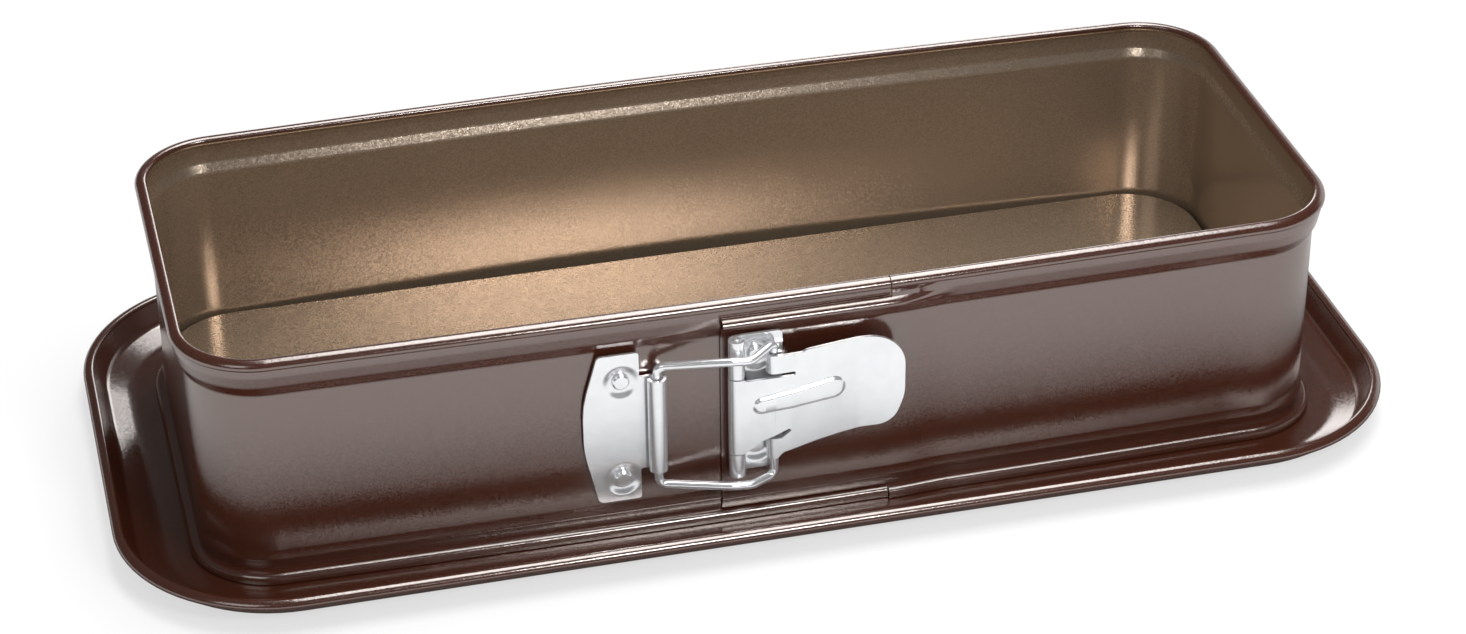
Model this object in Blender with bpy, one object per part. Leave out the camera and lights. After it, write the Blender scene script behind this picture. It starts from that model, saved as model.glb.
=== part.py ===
"""Rectangular springform pan with a lever latch, standing on its loose drip tray.

Lengths are in metres. The pan stands on z = 0 with its long side along X, its latch on
the front, at -Y, and its centre on the Z axis.

The wall is one steel strip, rolled round a bead at the rim and flanged at the foot. On
the front its two ends overlap, and the latch pulls them together. Opening the latch lets
the strip spring open. A rigid hinge at the back right corner stands in for that spring,
so the strip is modelled as two lengths with a hairline slit at the corner.
"""

import math

import bmesh
import bpy
from mathutils import Matrix, Vector
from mathutils.geometry import delaunay_2d_cdt

CLEARANCE = 0.0003
ROUND_STEP = math.radians(30)

# The wall of the pan
PAN_LENGTH = 0.2980
PAN_WIDTH = 0.1150
CORNER_RADIUS = 0.0197
FRONT_BOW = 0.0013
BACK_BOW = 0.0023
WALL_SHEET = 0.0006
RIM_HEIGHT = 0.0642
BEAD_RADIUS = 0.00165
NECK_DROP = 0.0018
NECK_OUT = 0.0009
SHOULDER_OUT = 0.0020
SHOULDER_TOP_DROP = 0.0033
SHOULDER_BOTTOM_DROP = 0.0062
WALL_TOP_DROP = 0.0085
FOOT_REACH = 0.0028
FOOT_HEIGHT = 0.0021
FOOT_ROUND = 0.0014
GROOVE_OUT = 0.0006
GROOVE_HEIGHT = 0.0059
GROOVE_TOP = 0.0085
FLAP_FOOT_GAP = 0.0030

# The overlap on the front and the slit that lets the wall open
LAP_X = 0.02745
FLAP_TIP_X = -0.0166
JOGGLE_LENGTH = 0.0055
SLIT = 0.0003

# The drip tray
TRAY_SHEET = 0.0006
FLOOR_HEIGHT = 0.0122
FLOOR_CLEARANCE = 0.0019
FLOOR_CORNER_RADIUS = 0.0200
FLOOR_EDGE_RADIUS = 0.0015
FLOOR_FOOT_RADIUS = 0.0010
TRAY_LENGTH_REACH = 0.0203
TRAY_WIDTH_REACH = 0.0220
TRAY_CORNER_RADIUS = 0.0420
TRAY_BEAD_RADIUS = 0.0015
TRAY_BEAD_HEIGHT = 0.0083
MOAT_INSET = 0.0092
MOAT_ROUND = 0.0055
CREASE_INSET = 0.0035
CREASE_HEIGHT = 0.0054
CREASE_ROUND = 0.0090

# The latch: sheet, axes and plates
PLATE_SHEET = 0.0008
LEVER_SHEET = 0.0009
SEAT_GAP = 0.00025
DISH_DEPTH = 0.0006
DISH_RADIUS = 0.0047
SEAT_RADIUS = 0.0029
HEAD_RADIUS = 0.0023
HEAD_HEIGHT = 0.0009
SHANK_RADIUS = 0.0012
TAIL_RADIUS = 0.0019
TAIL_HEIGHT = 0.0005
PIN_RADIUS = 0.00105
PIN_OVERHANG = 0.0004
WIRE_RADIUS = 0.00115
BARREL_RADIUS = 0.00245
EAR_RADIUS = 0.00205

# The front wall's outer face at the corners, and the flat part of its height: the latch
# hangs from the flat's top and stands on its bottom
FRONT_Y = -0.5 * PAN_WIDTH
RING_BASE = TRAY_SHEET + CLEARANCE
RIM_Z = RING_BASE + RIM_HEIGHT
FLAT_BOTTOM = RING_BASE + GROOVE_TOP
FLAT_TOP = RIM_Z - WALL_TOP_DROP

BARREL_X = -0.0336
BARREL_Y = FRONT_Y - 0.0042
PIN_X = -0.0133
PIN_Y = FRONT_Y - 0.0057
EAR_X = -0.0037
EAR_Y = FRONT_Y - 0.00595

LEFT_EDGE_X = -0.0380
LEFT_PLATE_BULGE_X = -0.0525
LEFT_PLATE_TOP = FLAT_TOP - 0.0017
LEFT_PLATE_BOTTOM = FLAT_BOTTOM + 0.0019
BARREL_BOTTOM = FLAT_BOTTOM + 0.0108
BARREL_TOP = FLAT_TOP - 0.0090
LEFT_RIVET_X = -0.0425
LEFT_RIVET_HIGH = FLAT_TOP - 0.0099
LEFT_RIVET_LOW = FLAT_BOTTOM + 0.0083

RIGHT_EDGE_X = -0.0010
RIGHT_PLATE_TOP = FLAT_TOP - 0.0001
RIGHT_PLATE_BOTTOM = FLAT_BOTTOM + 0.0067
RIGHT_RIVET_X = -0.0078
RIGHT_RIVET_HIGH = FLAT_TOP - 0.0063
RIGHT_RIVET_LOW = FLAT_BOTTOM + 0.0135
KNUCKLE_LOW_TOP = FLAT_BOTTOM + 0.0136
KNUCKLE_HIGH_BOTTOM = FLAT_TOP - 0.0109

LEVER_BODY_TOP = FLAT_TOP - 0.0117
LEVER_TOP = FLAT_TOP - 0.0049
LEVER_BOTTOM = FLAT_BOTTOM + 0.0129
LEVER_TIP_X = 0.0303
LEVER_TIP_TOP = FLAT_TOP - 0.0040
LEVER_TIP_BOTTOM = FLAT_BOTTOM + 0.0164
LEVER_BEND_X = 0.0190
LEVER_DIP_Y = FRONT_Y - 0.0057
LEVER_TIP_Y = FRONT_Y - 0.0078
EAR_HIGH_BOTTOM = FLAT_TOP - 0.0105
EAR_HIGH_TOP = FLAT_TOP - 0.0050
EAR_LOW_BOTTOM = FLAT_BOTTOM + 0.0112
EAR_LOW_TOP = FLAT_BOTTOM + 0.0171
RIB_HEIGHT = 0.0007
RIB_SLOPE = 0.0012
# The ends of the rib's tapered outline: x, z and radius
RIB_START = (-0.0074, LEVER_BODY_TOP - 0.0076, 0.0026)
RIB_END = (0.0116, LEVER_BODY_TOP - 0.0057, 0.0034)

ARM_HIGH = FLAT_TOP - 0.0057
ARM_RISE = 0.0015
ARM_LOW = FLAT_BOTTOM + 0.0056
ARM_FRONT_Y = FRONT_Y - 0.0093
HOOK_HIGH = FLAT_TOP - 0.0023
HOOK_LOW = FLAT_BOTTOM + 0.0052
WIRE_BEND = 0.0022

# Other places that follow from the sizes above
BEAD_OUT = BEAD_RADIUS - WALL_SHEET
STRAIGHT_X = 0.5 * PAN_LENGTH - CORNER_RADIUS
JOGGLE = WALL_SHEET + CLEARANCE
HINGE_Y = 0.5 * PAN_WIDTH + FOOT_REACH
PLATE_PROUD = SEAT_GAP + DISH_DEPTH + PLATE_SHEET
KNUCKLE_BORE = PIN_RADIUS + CLEARANCE


# Plain geometry

def rounded(points, closed=True):
    """Corner points (x, y, radius) turned into a line with an arc at each corner."""
    corners = [Vector(point[:-1]) for point in points]
    radii = [point[-1] for point in points]
    line = []
    for i, corner in enumerate(corners):
        if radii[i] == 0 or (not closed and i in (0, len(corners) - 1)):
            line.append(corner)
            continue
        back = (corners[i - 1] - corner).normalized()
        ahead = (corners[(i + 1) % len(corners)] - corner).normalized()
        turn = math.pi - back.angle(ahead)
        bisector = (back + ahead).normalized()
        centre = corner + bisector * radii[i] / math.cos(0.5 * turn)
        start = corner + back * radii[i] * math.tan(0.5 * turn) - centre
        across = (-bisector * radii[i])
        side = (start - across * math.cos(0.5 * turn)) / math.sin(0.5 * turn)
        steps = max(1, math.ceil(turn / ROUND_STEP))
        for step in range(steps + 1):
            angle = 0.5 * turn - turn * step / steps
            line.append(centre + across * math.cos(angle) + side * math.sin(angle))
    return line


def mitres(line):
    """For each point of an open line in a plane, the vector to its unit offset."""
    offsets = []
    for i in range(len(line)):
        before = (line[i] - line[i - 1]).normalized() if i else None
        after = (line[i + 1] - line[i]).normalized() if i + 1 < len(line) else None
        before = before or after
        after = after or before
        left = Vector((-before.y - after.y, before.x + after.x)).normalized()
        offsets.append(left / (left.x * -after.y + left.y * after.x))
    return offsets


def roll(centre, radius, start, turn):
    """Points round a rolled edge, from the start angle through the turn, in degrees."""
    steps = math.ceil(abs(math.radians(turn)) / ROUND_STEP)
    points = []
    for step in range(steps + 1):
        angle = math.radians(start + turn * step / steps)
        points.append(Vector((centre[0] + radius * math.cos(angle),
                              centre[1] + radius * math.sin(angle))))
    return points


def new_object(name, bm, material, origin=(0.0, 0.0, 0.0)):
    """Keep a mesh as a named object whose origin lies at the given point."""
    bmesh.ops.recalc_face_normals(bm, faces=bm.faces)
    mesh = bpy.data.meshes.new(name)
    bm.to_mesh(mesh)
    bm.free()
    mesh.transform(Matrix.Translation(-Vector(origin)))
    mesh.materials.append(material)
    mesh.shade_smooth()
    mesh.set_sharp_from_angle(angle=math.radians(35))
    obj = bpy.data.objects.new(name, mesh)
    obj.location = origin
    bpy.context.scene.collection.objects.link(obj)
    return obj


def join_loops(bm, first, second, closed=True):
    """Faces between two rows of as many points."""
    count = len(first) if closed else len(first) - 1
    for i in range(count):
        j = (i + 1) % len(first)
        bm.faces.new((first[i], first[j], second[j], second[i]))


def metal(name, colour, roughness, metallic=1.0):
    material = bpy.data.materials.new(name)
    material.use_nodes = True
    shader = material.node_tree.nodes["Principled BSDF"]
    shader.inputs["Base Color"].default_value = (*colour, 1.0)
    shader.inputs["Roughness"].default_value = roughness
    shader.inputs["Metallic"].default_value = metallic
    material.diffuse_color = (*colour, 1.0)
    return material


# The wall

def side_station(x, front):
    """A point of a long side's outer face and its outward direction; the side bows out."""
    bow = FRONT_BOW if front else BACK_BOW
    turn = 0.5 * math.pi / STRAIGHT_X
    out = bow * math.cos(turn * x)
    slope = -bow * turn * math.sin(turn * x)
    facing = -1.0 if front else 1.0
    return (Vector((x, facing * (0.5 * PAN_WIDTH + out))),
            Vector((-slope, facing)).normalized())


def corner_stations(side_x, side_y, start):
    """Stations round a corner of the wall, a quarter turn anticlockwise from start."""
    centre = Vector((side_x * STRAIGHT_X, side_y * (0.5 * PAN_WIDTH - CORNER_RADIUS)))
    stations = []
    for step in range(9):
        angle = math.radians(start + 90.0 * step / 8)
        out = Vector((math.cos(angle), math.sin(angle)))
        stations.append((centre + out * CORNER_RADIUS, out))
    return stations


def side_stations(x_from, x_to, front, steps):
    """Stations along a long side, both ends included."""
    return [side_station(x_from + (x_to - x_from) * i / steps, front)
            for i in range(steps + 1)]


def wall_section():
    """The strip's section as three parts of its middle line: foot, wall and neck.

    Each point is (outward from the wall's outer face, height).
    """
    middle = -0.5 * WALL_SHEET
    ledge = RING_BASE + FOOT_HEIGHT
    foot = rounded([(FOOT_REACH + middle, RING_BASE, 0),
                    (FOOT_REACH + middle, ledge, FOOT_ROUND),
                    (0.5 * GROOVE_OUT + middle, ledge + 0.5 * WALL_SHEET, 0)], closed=False)
    lower = rounded([(0.4 * GROOVE_OUT + middle, RING_BASE + FLAP_FOOT_GAP, 0),
                     (0.3 * GROOVE_OUT + middle, RING_BASE + 0.65 * GROOVE_HEIGHT, 0),
                     (GROOVE_OUT + middle, RING_BASE + GROOVE_HEIGHT, 0.0015),
                     (middle, RING_BASE + GROOVE_TOP, 0.0020),
                     (middle, RIM_Z - WALL_TOP_DROP, 0.0015),
                     (SHOULDER_OUT + middle, RIM_Z - SHOULDER_BOTTOM_DROP, 0.0010),
                     (SHOULDER_OUT + middle, RIM_Z - SHOULDER_TOP_DROP, 0)], closed=False)
    neck = [Vector((NECK_OUT + middle, RIM_Z - NECK_DROP))]
    return foot, lower, neck


class Strip:
    """The strip's section and how its joggled front flap is shared out."""

    def __init__(self):
        foot, wall, neck = wall_section()
        line = foot + wall + neck
        offsets = mitres(line)
        half = 0.5 * WALL_SHEET
        outer = [point - offset * half for point, offset in zip(line, offsets)]
        inner = [point + offset * half for point, offset in zip(line, offsets)]
        bead = roll((BEAD_OUT, RIM_Z), BEAD_RADIUS, -60.0, 300.0)
        self.points = outer + bead + inner[::-1]
        self.foot = len(foot)
        self.wall = len(wall)
        self.side = len(line)
        self.steady = set(range(self.side - len(neck), len(outer + bead) + len(neck)))

    def wall_part(self, loop):
        """The part of a loop that goes on as the flap."""
        outer = loop[self.foot:self.foot + self.wall]
        start = len(loop) - self.foot - self.wall
        return outer + loop[start:start + self.wall]

    def rim_part(self, loop):
        first = self.foot + self.wall - 1
        return loop[first:len(loop) - self.foot - self.wall + 1]

    def foot_part(self, loop):
        return loop[:self.foot + 1] + loop[len(loop) - self.foot - 1:]

    def loop(self, bm, station, shift=0.0):
        """The section's points at a station, with all but the rim moved out by shift."""
        place, out = station
        verts = []
        for i, point in enumerate(self.points):
            reach = point.x + (0.0 if i in self.steady else shift)
            verts.append(bm.verts.new((*(place + out * reach), point.y)))
        return verts


def joggle_at(x):
    """How far the strip's outer end stands off, so that it passes over the inner end."""
    along = (x - LAP_X) / JOGGLE_LENGTH
    along = min(max(along, 0.0), 1.0)
    return JOGGLE * 0.5 * (1.0 + math.cos(math.pi * along))


def ring_left(material):
    """The strip's inner length: the back, the left end and the front up to the lap."""
    bm = bmesh.new()
    strip = Strip()
    stations = side_stations(STRAIGHT_X - 0.5 * SLIT, -STRAIGHT_X, False, 10)[:-1]
    stations += corner_stations(-1, 1, 90.0) + corner_stations(-1, -1, 180.0)
    stations += side_stations(-STRAIGHT_X, LAP_X - 0.5 * SLIT, True, 7)[1:]
    loops = [strip.loop(bm, station) for station in stations]
    for first, second in zip(loops, loops[1:]):
        join_loops(bm, first, second)
    bm.faces.new(loops[0])
    bm.faces.new(loops[-1])
    return new_object("ring_left", bm, material)


def ring_right(material):
    """The strip's outer length: flap, front right, right end; it swings on the slit."""
    bm = bmesh.new()
    strip = Strip()
    first_x = LAP_X + 0.5 * SLIT
    stations = [side_station(first_x + JOGGLE_LENGTH * i / 4, True) for i in range(4)]
    stations += side_stations(first_x + JOGGLE_LENGTH, STRAIGHT_X, True, 5)[:-1]
    stations += corner_stations(1, -1, 270.0) + corner_stations(1, 1, 0.0)[:-1]
    stations.append((Vector((STRAIGHT_X + 0.5 * SLIT, 0.5 * PAN_WIDTH)), Vector((0.0, 1.0))))
    loops = []
    for station in stations:
        shift = joggle_at(station[0].x) if station[0].y < 0 else 0.0
        loops.append(strip.loop(bm, station, shift))
    for first, second in zip(loops, loops[1:]):
        join_loops(bm, first, second)
    bm.faces.new(loops[-1])
    bm.faces.new(strip.rim_part(loops[0]))
    bm.faces.new(strip.foot_part(loops[0]))
    flap = [strip.wall_part(loops[0])]
    for station in side_stations(first_x, FLAP_TIP_X, True, 3)[1:]:
        whole = strip.loop(bm, station, JOGGLE)
        kept = strip.wall_part(whole)
        for vert in set(whole) - set(kept):
            bm.verts.remove(vert)
        flap.append(kept)
    for first, second in zip(flap, flap[1:]):
        join_loops(bm, first, second)
    bm.faces.new(flap[-1])
    return new_object("ring_right", bm, material, (STRAIGHT_X, HINGE_Y, 0.0))


# The drip tray

def rounded_rectangle(bm, length, width, radius, z):
    """A loop of points round a rounded rectangle of half length and half width."""
    verts = []
    for side_x, side_y, start in ((1, 1, 0), (-1, 1, 90), (-1, -1, 180), (1, -1, 270)):
        for step in range(10):
            angle = math.radians(start + 10.0 * step)
            verts.append(bm.verts.new((side_x * (length - radius) + radius * math.cos(angle),
                                       side_y * (width - radius) + radius * math.sin(angle),
                                       z)))
    return verts


def base_tray(material):
    """The tray: raised floor inside the wall, a flat moat and a rolled outer rim."""
    inset = WALL_SHEET + FLOOR_CLEARANCE
    floor_size = (0.5 * PAN_LENGTH - inset, 0.5 * PAN_WIDTH - inset, FLOOR_CORNER_RADIUS)
    rim_size = (0.5 * PAN_LENGTH + TRAY_LENGTH_REACH, 0.5 * PAN_WIDTH + TRAY_WIDTH_REACH,
                TRAY_CORNER_RADIUS)
    half = 0.5 * TRAY_SHEET
    # Two lines along the sheet's middle: the step of the floor, then the flange of the rim
    step_line = rounded([(-2 * FLOOR_EDGE_RADIUS, FLOOR_HEIGHT - half, 0),
                         (-half, FLOOR_HEIGHT - half, FLOOR_EDGE_RADIUS - half),
                         (-half, half, FLOOR_FOOT_RADIUS + half),
                         (2 * FLOOR_FOOT_RADIUS, half, 0)], closed=False)
    flange_line = rounded([(-MOAT_INSET - 0.0030, half, 0),
                           (-MOAT_INSET, half, MOAT_ROUND),
                           (-CREASE_INSET, CREASE_HEIGHT - half, CREASE_ROUND),
                           (-TRAY_BEAD_RADIUS + half, TRAY_BEAD_HEIGHT, 0)], closed=False)
    loops = []
    sizes = [floor_size] * len(step_line) + [rim_size] * len(flange_line)
    offsets = mitres(step_line) + mitres(flange_line)
    line = step_line + flange_line
    top = [(size, point + offset * half) for size, point, offset in zip(sizes, line, offsets)]
    under = [(size, point - offset * half) for size, point, offset in zip(sizes, line, offsets)]
    bead = [(rim_size, point)
            for point in roll((0.0, TRAY_BEAD_HEIGHT), TRAY_BEAD_RADIUS, 180.0, -315.0)]
    bm = bmesh.new()
    for size, point in top[:-1] + bead + under[-2::-1]:
        length, width, radius = (value + point.x for value in size)
        loops.append(rounded_rectangle(bm, length, width, radius, point.y))
    for first, second in zip(loops, loops[1:]):
        join_loops(bm, first, second)
    bm.faces.new(loops[0])
    bm.faces.new(loops[-1])
    return new_object("base_tray", bm, material)


# Formed sheet: plates whose edges are rolled into knuckles

class Route:
    """The way a sheet's middle line runs in plan, as places reached at each x.

    On the flat the place counts by x. Along a roll it goes on by a small step at each
    point, so that a rolled edge needs little room in the flat outline.
    """

    STEP = 0.0003

    def __init__(self, flat, rolled):
        heading = 1.0 if rolled[0].x > flat[0].x else -1.0
        self.line = flat + rolled
        self.marks = [point.x for point in flat]
        self.marks.append(rolled[0].x)
        for _ in rolled[1:]:
            self.marks.append(self.marks[-1] + heading * self.STEP)
        self.offsets = [offset * heading for offset in mitres(self.line)]
        self.end = self.marks[-1]

    def place(self, mark, out):
        """The plan point at a mark, moved by out along the sheet's normal, away from -Y."""
        for i in range(len(self.marks) - 1):
            low, high = sorted((self.marks[i], self.marks[i + 1]))
            if mark <= high + 1e-9 and mark >= low - 1e-9:
                break
        share = (mark - self.marks[i]) / (self.marks[i + 1] - self.marks[i])
        centre = self.line[i].lerp(self.line[i + 1], share)
        offset = self.offsets[i].lerp(self.offsets[i + 1], share)
        return centre + offset * out


def circle(centre, radius, count=16):
    return [Vector((centre[0] + radius * math.cos(2 * math.pi * i / count),
                    centre[1] + radius * math.sin(2 * math.pi * i / count)))
            for i in range(count)]


def formed_sheet(name, material, outline, route_at, routes, sheet, loops, holes, press,
                 origin=(0.0, 0.0, 0.0)):
    """A plate cut to an outline of (x, z), pressed and rolled along its routes.

    loops are closed lines where the pressing changes, holes are (centre, radius), and
    press(point) is how far the sheet is pushed towards the wall there.
    """
    loops = loops + [circle(centre, radius) for centre, radius in holes]
    points = list(outline)
    edges = []
    for loop in loops:
        start = len(points)
        points += loop
        edges += [(start + i, start + (i + 1) % len(loop)) for i in range(len(loop))]
    low = min(point.y for point in outline) - sheet
    high = max(point.y for point in outline) + sheet
    for route in routes:
        for mark in route.marks[1:-1]:
            edges.append((len(points), len(points) + 1))
            points += [Vector((mark, low)), Vector((mark, high))]
    verts, _, faces, _, _, origins = delaunay_2d_cdt(
        points, edges, [list(range(len(outline)))], 1, 1e-8)
    bm = bmesh.new()
    sides = []
    for out in (-0.5 * sheet, 0.5 * sheet):
        row = []
        for point in verts:
            plan = route_at(point).place(point.x, out + press(point))
            row.append(bm.verts.new((plan.x, plan.y, point.y)))
        sides.append(row)
    for face, source in zip(faces, origins):
        middle = sum((verts[i] for i in face), Vector((0.0, 0.0))) / len(face)
        if not source or any((middle - Vector(c)).length < r for c, r in holes):
            continue
        bm.faces.new([sides[0][i] for i in face])
        bm.faces.new([sides[1][i] for i in reversed(face)])
    twin = {}
    for front, back in zip(*sides):
        twin[front] = back
    for edge in [edge for edge in bm.edges if len(edge.link_faces) == 1]:
        first, second = edge.verts
        if first in twin and second in twin:
            bm.faces.new((first, second, twin[second], twin[first]))
    for vert in [vert for vert in bm.verts if not vert.link_faces]:
        bm.verts.remove(vert)
    return new_object(name, bm, material, origin)


def dished(rivets):
    """The press of a plate with a flat seat sunk round each rivet."""
    def press(point):
        for centre in rivets:
            away = (point - Vector(centre)).length
            if away < DISH_RADIUS:
                share = (DISH_RADIUS - away) / (DISH_RADIUS - SEAT_RADIUS)
                return DISH_DEPTH * min(share, 1.0)
        return 0.0
    return press


def dish_loops(rivets):
    loops = []
    for centre in rivets:
        loops += [circle(centre, DISH_RADIUS, 24), circle(centre, SEAT_RADIUS, 20)]
    return loops


def wall_y(x, shift=0.0):
    """The front wall's outer face at x, or the flap's, which stands off by shift."""
    return side_station(x, True)[0].y - shift


LEFT_RIVETS = ((LEFT_RIVET_X, LEFT_RIVET_HIGH), (LEFT_RIVET_X, LEFT_RIVET_LOW))
RIGHT_RIVETS = ((RIGHT_RIVET_X, RIGHT_RIVET_HIGH), (RIGHT_RIVET_X, RIGHT_RIVET_LOW))
LEFT_PLATE_Y = wall_y(LEFT_EDGE_X) - PLATE_PROUD
RIGHT_PLATE_Y = wall_y(RIGHT_EDGE_X, JOGGLE) - PLATE_PROUD


def left_bracket(material):
    """The fixed plate, whose tongue is rolled round the wire."""
    middle_y = LEFT_PLATE_Y + 0.5 * PLATE_SHEET
    flat = [Vector((LEFT_PLATE_BULGE_X - 0.001, middle_y)), Vector((LEFT_EDGE_X, middle_y))]
    rolled = roll((BARREL_X, BARREL_Y), BARREL_RADIUS - 0.5 * PLATE_SHEET, 90.0, -275.0)
    route = Route(flat, rolled)
    waist = LEFT_EDGE_X + 0.0001
    height = LEFT_PLATE_TOP - LEFT_PLATE_BOTTOM
    outline = rounded([(waist, LEFT_PLATE_BOTTOM, 0.0008),
                       (waist, BARREL_BOTTOM, 0.0003),
                       (route.end, BARREL_BOTTOM, 0),
                       (route.end, BARREL_TOP, 0),
                       (waist, BARREL_TOP, 0.0003),
                       (waist, LEFT_PLATE_TOP, 0.0008),
                       (LEFT_PLATE_BULGE_X + 0.0040, LEFT_PLATE_TOP, 0.0012),
                       (LEFT_PLATE_BULGE_X, LEFT_PLATE_TOP - 0.32 * height, 0.0280),
                       (LEFT_PLATE_BULGE_X, LEFT_PLATE_BOTTOM + 0.37 * height, 0.0280),
                       (LEFT_PLATE_BULGE_X + 0.0036, LEFT_PLATE_BOTTOM, 0.0016)])
    holes = [(centre, SHANK_RADIUS + CLEARANCE) for centre in LEFT_RIVETS]
    return formed_sheet("left_bracket", material, outline, lambda point: route, [route],
                        PLATE_SHEET, dish_loops(LEFT_RIVETS), holes, dished(LEFT_RIVETS))


def right_bracket(material):
    """The plate on the flap, with two knuckles that hold the lever's pin."""
    middle_y = RIGHT_PLATE_Y + 0.5 * PLATE_SHEET
    bore = KNUCKLE_BORE + 0.5 * PLATE_SHEET
    root = PIN_X + 0.0020
    flat = [Vector((RIGHT_EDGE_X + 0.001, middle_y)), Vector((root, middle_y))]
    rolled = roll((PIN_X, PIN_Y), bore, 90.0, 255.0)
    route = Route(flat, rolled)
    waist = PIN_X + KNUCKLE_BORE + LEVER_SHEET + 2 * CLEARANCE
    outline = rounded([(RIGHT_EDGE_X, RIGHT_PLATE_TOP - 0.0008, 0.0012),
                       (RIGHT_EDGE_X - 0.0007, RIGHT_PLATE_TOP, 0.0006),
                       (route.end, RIGHT_PLATE_TOP, 0),
                       (route.end, KNUCKLE_HIGH_BOTTOM, 0),
                       (waist, KNUCKLE_HIGH_BOTTOM, 0.0004),
                       (waist, KNUCKLE_LOW_TOP, 0.0004),
                       (route.end, KNUCKLE_LOW_TOP, 0),
                       (route.end, RIGHT_PLATE_BOTTOM, 0),
                       (RIGHT_EDGE_X - 0.0030, RIGHT_PLATE_BOTTOM, 0.0030),
                       (RIGHT_EDGE_X, RIGHT_PLATE_BOTTOM + 0.0060, 0.0030)])
    holes = [(centre, SHANK_RADIUS + CLEARANCE) for centre in RIGHT_RIVETS]
    return formed_sheet("right_bracket", material, outline, lambda point: route, [route],
                        PLATE_SHEET, dish_loops(RIGHT_RIVETS), holes, dished(RIGHT_RIVETS))


# Rivets and pin

def turned(name, material, profile, centre, axis, origin=(0.0, 0.0, 0.0), count=20):
    """A body turned from (radius, distance along the axis) points, closed at both ends."""
    bm = bmesh.new()
    frame = Vector((0.0, 0.0, 1.0)).rotation_difference(Vector(axis)).to_matrix()
    loops = []
    for radius, along in profile:
        ring = []
        for i in range(count):
            angle = 2 * math.pi * i / count
            local = Vector((radius * math.cos(angle), radius * math.sin(angle), along))
            ring.append(bm.verts.new(Vector(centre) + frame @ local))
        loops.append(ring)
    for first, second in zip(loops, loops[1:]):
        join_loops(bm, first, second)
    bm.faces.new(loops[0])
    bm.faces.new(loops[-1])
    return new_object(name, bm, material, origin)


def rivet(name, material, centre, plate_y, inner_y, tail):
    """A rivet: a flat-topped head on the plate's seat, a shank through plate and wall."""
    seat_y = plate_y + DISH_DEPTH - 0.5 * SEAT_GAP
    profile = [(0.74 * HEAD_RADIUS, HEAD_HEIGHT), (0.94 * HEAD_RADIUS, 0.8 * HEAD_HEIGHT),
               (HEAD_RADIUS, 0.4 * HEAD_HEIGHT), (HEAD_RADIUS, 0.0), (SHANK_RADIUS, 0.0)]
    depth = inner_y - seat_y
    if tail:
        start = depth + 0.5 * SEAT_GAP
        profile += [(SHANK_RADIUS, -start), (TAIL_RADIUS, -start),
                    (TAIL_RADIUS, -start - 0.6 * TAIL_HEIGHT),
                    (0.6 * TAIL_RADIUS, -start - TAIL_HEIGHT)]
    else:
        profile.append((SHANK_RADIUS, -depth))
    return turned(name, material, profile, (centre[0], seat_y, centre[1]), (0.0, -1.0, 0.0))


def hinge_pin(material):
    """The pin through the two plate knuckles and the lever's knuckle."""
    low = RIGHT_PLATE_BOTTOM - PIN_OVERHANG
    high = RIGHT_PLATE_TOP + PIN_OVERHANG
    edge = 0.3 * PIN_RADIUS
    profile = [(PIN_RADIUS - edge, low), (PIN_RADIUS, low + edge),
               (PIN_RADIUS, high - edge), (PIN_RADIUS - edge, high)]
    return turned("hinge_pin", material, profile, (PIN_X, PIN_Y, 0.0), (0.0, 0.0, 1.0))


# The lever

def rib_share(point):
    """How far inside the rib's tapered outline a point lies."""
    start = Vector(RIB_START[:2])
    along = Vector(RIB_END[:2]) - start
    share = min(max((point - start).dot(along) / along.dot(along), 0.0), 1.0)
    radius = RIB_START[2] + (RIB_END[2] - RIB_START[2]) * share
    return radius - (point - start - along * share).length


def rib_loop(inset):
    """The outline of the rib, or of its crest when inset: two arcs and their tangents."""
    start, end = Vector(RIB_START[:2]), Vector(RIB_END[:2])
    along = end - start
    tilt = math.degrees(math.atan2(along.y, along.x))
    lean = math.degrees(math.asin((RIB_END[2] - RIB_START[2]) / along.length))
    loop = roll(start, RIB_START[2] - inset, tilt + 90.0 + lean, 180.0 - 2 * lean)
    return loop + roll(end, RIB_END[2] - inset, tilt - 90.0 - lean, 180.0 + 2 * lean)


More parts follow.
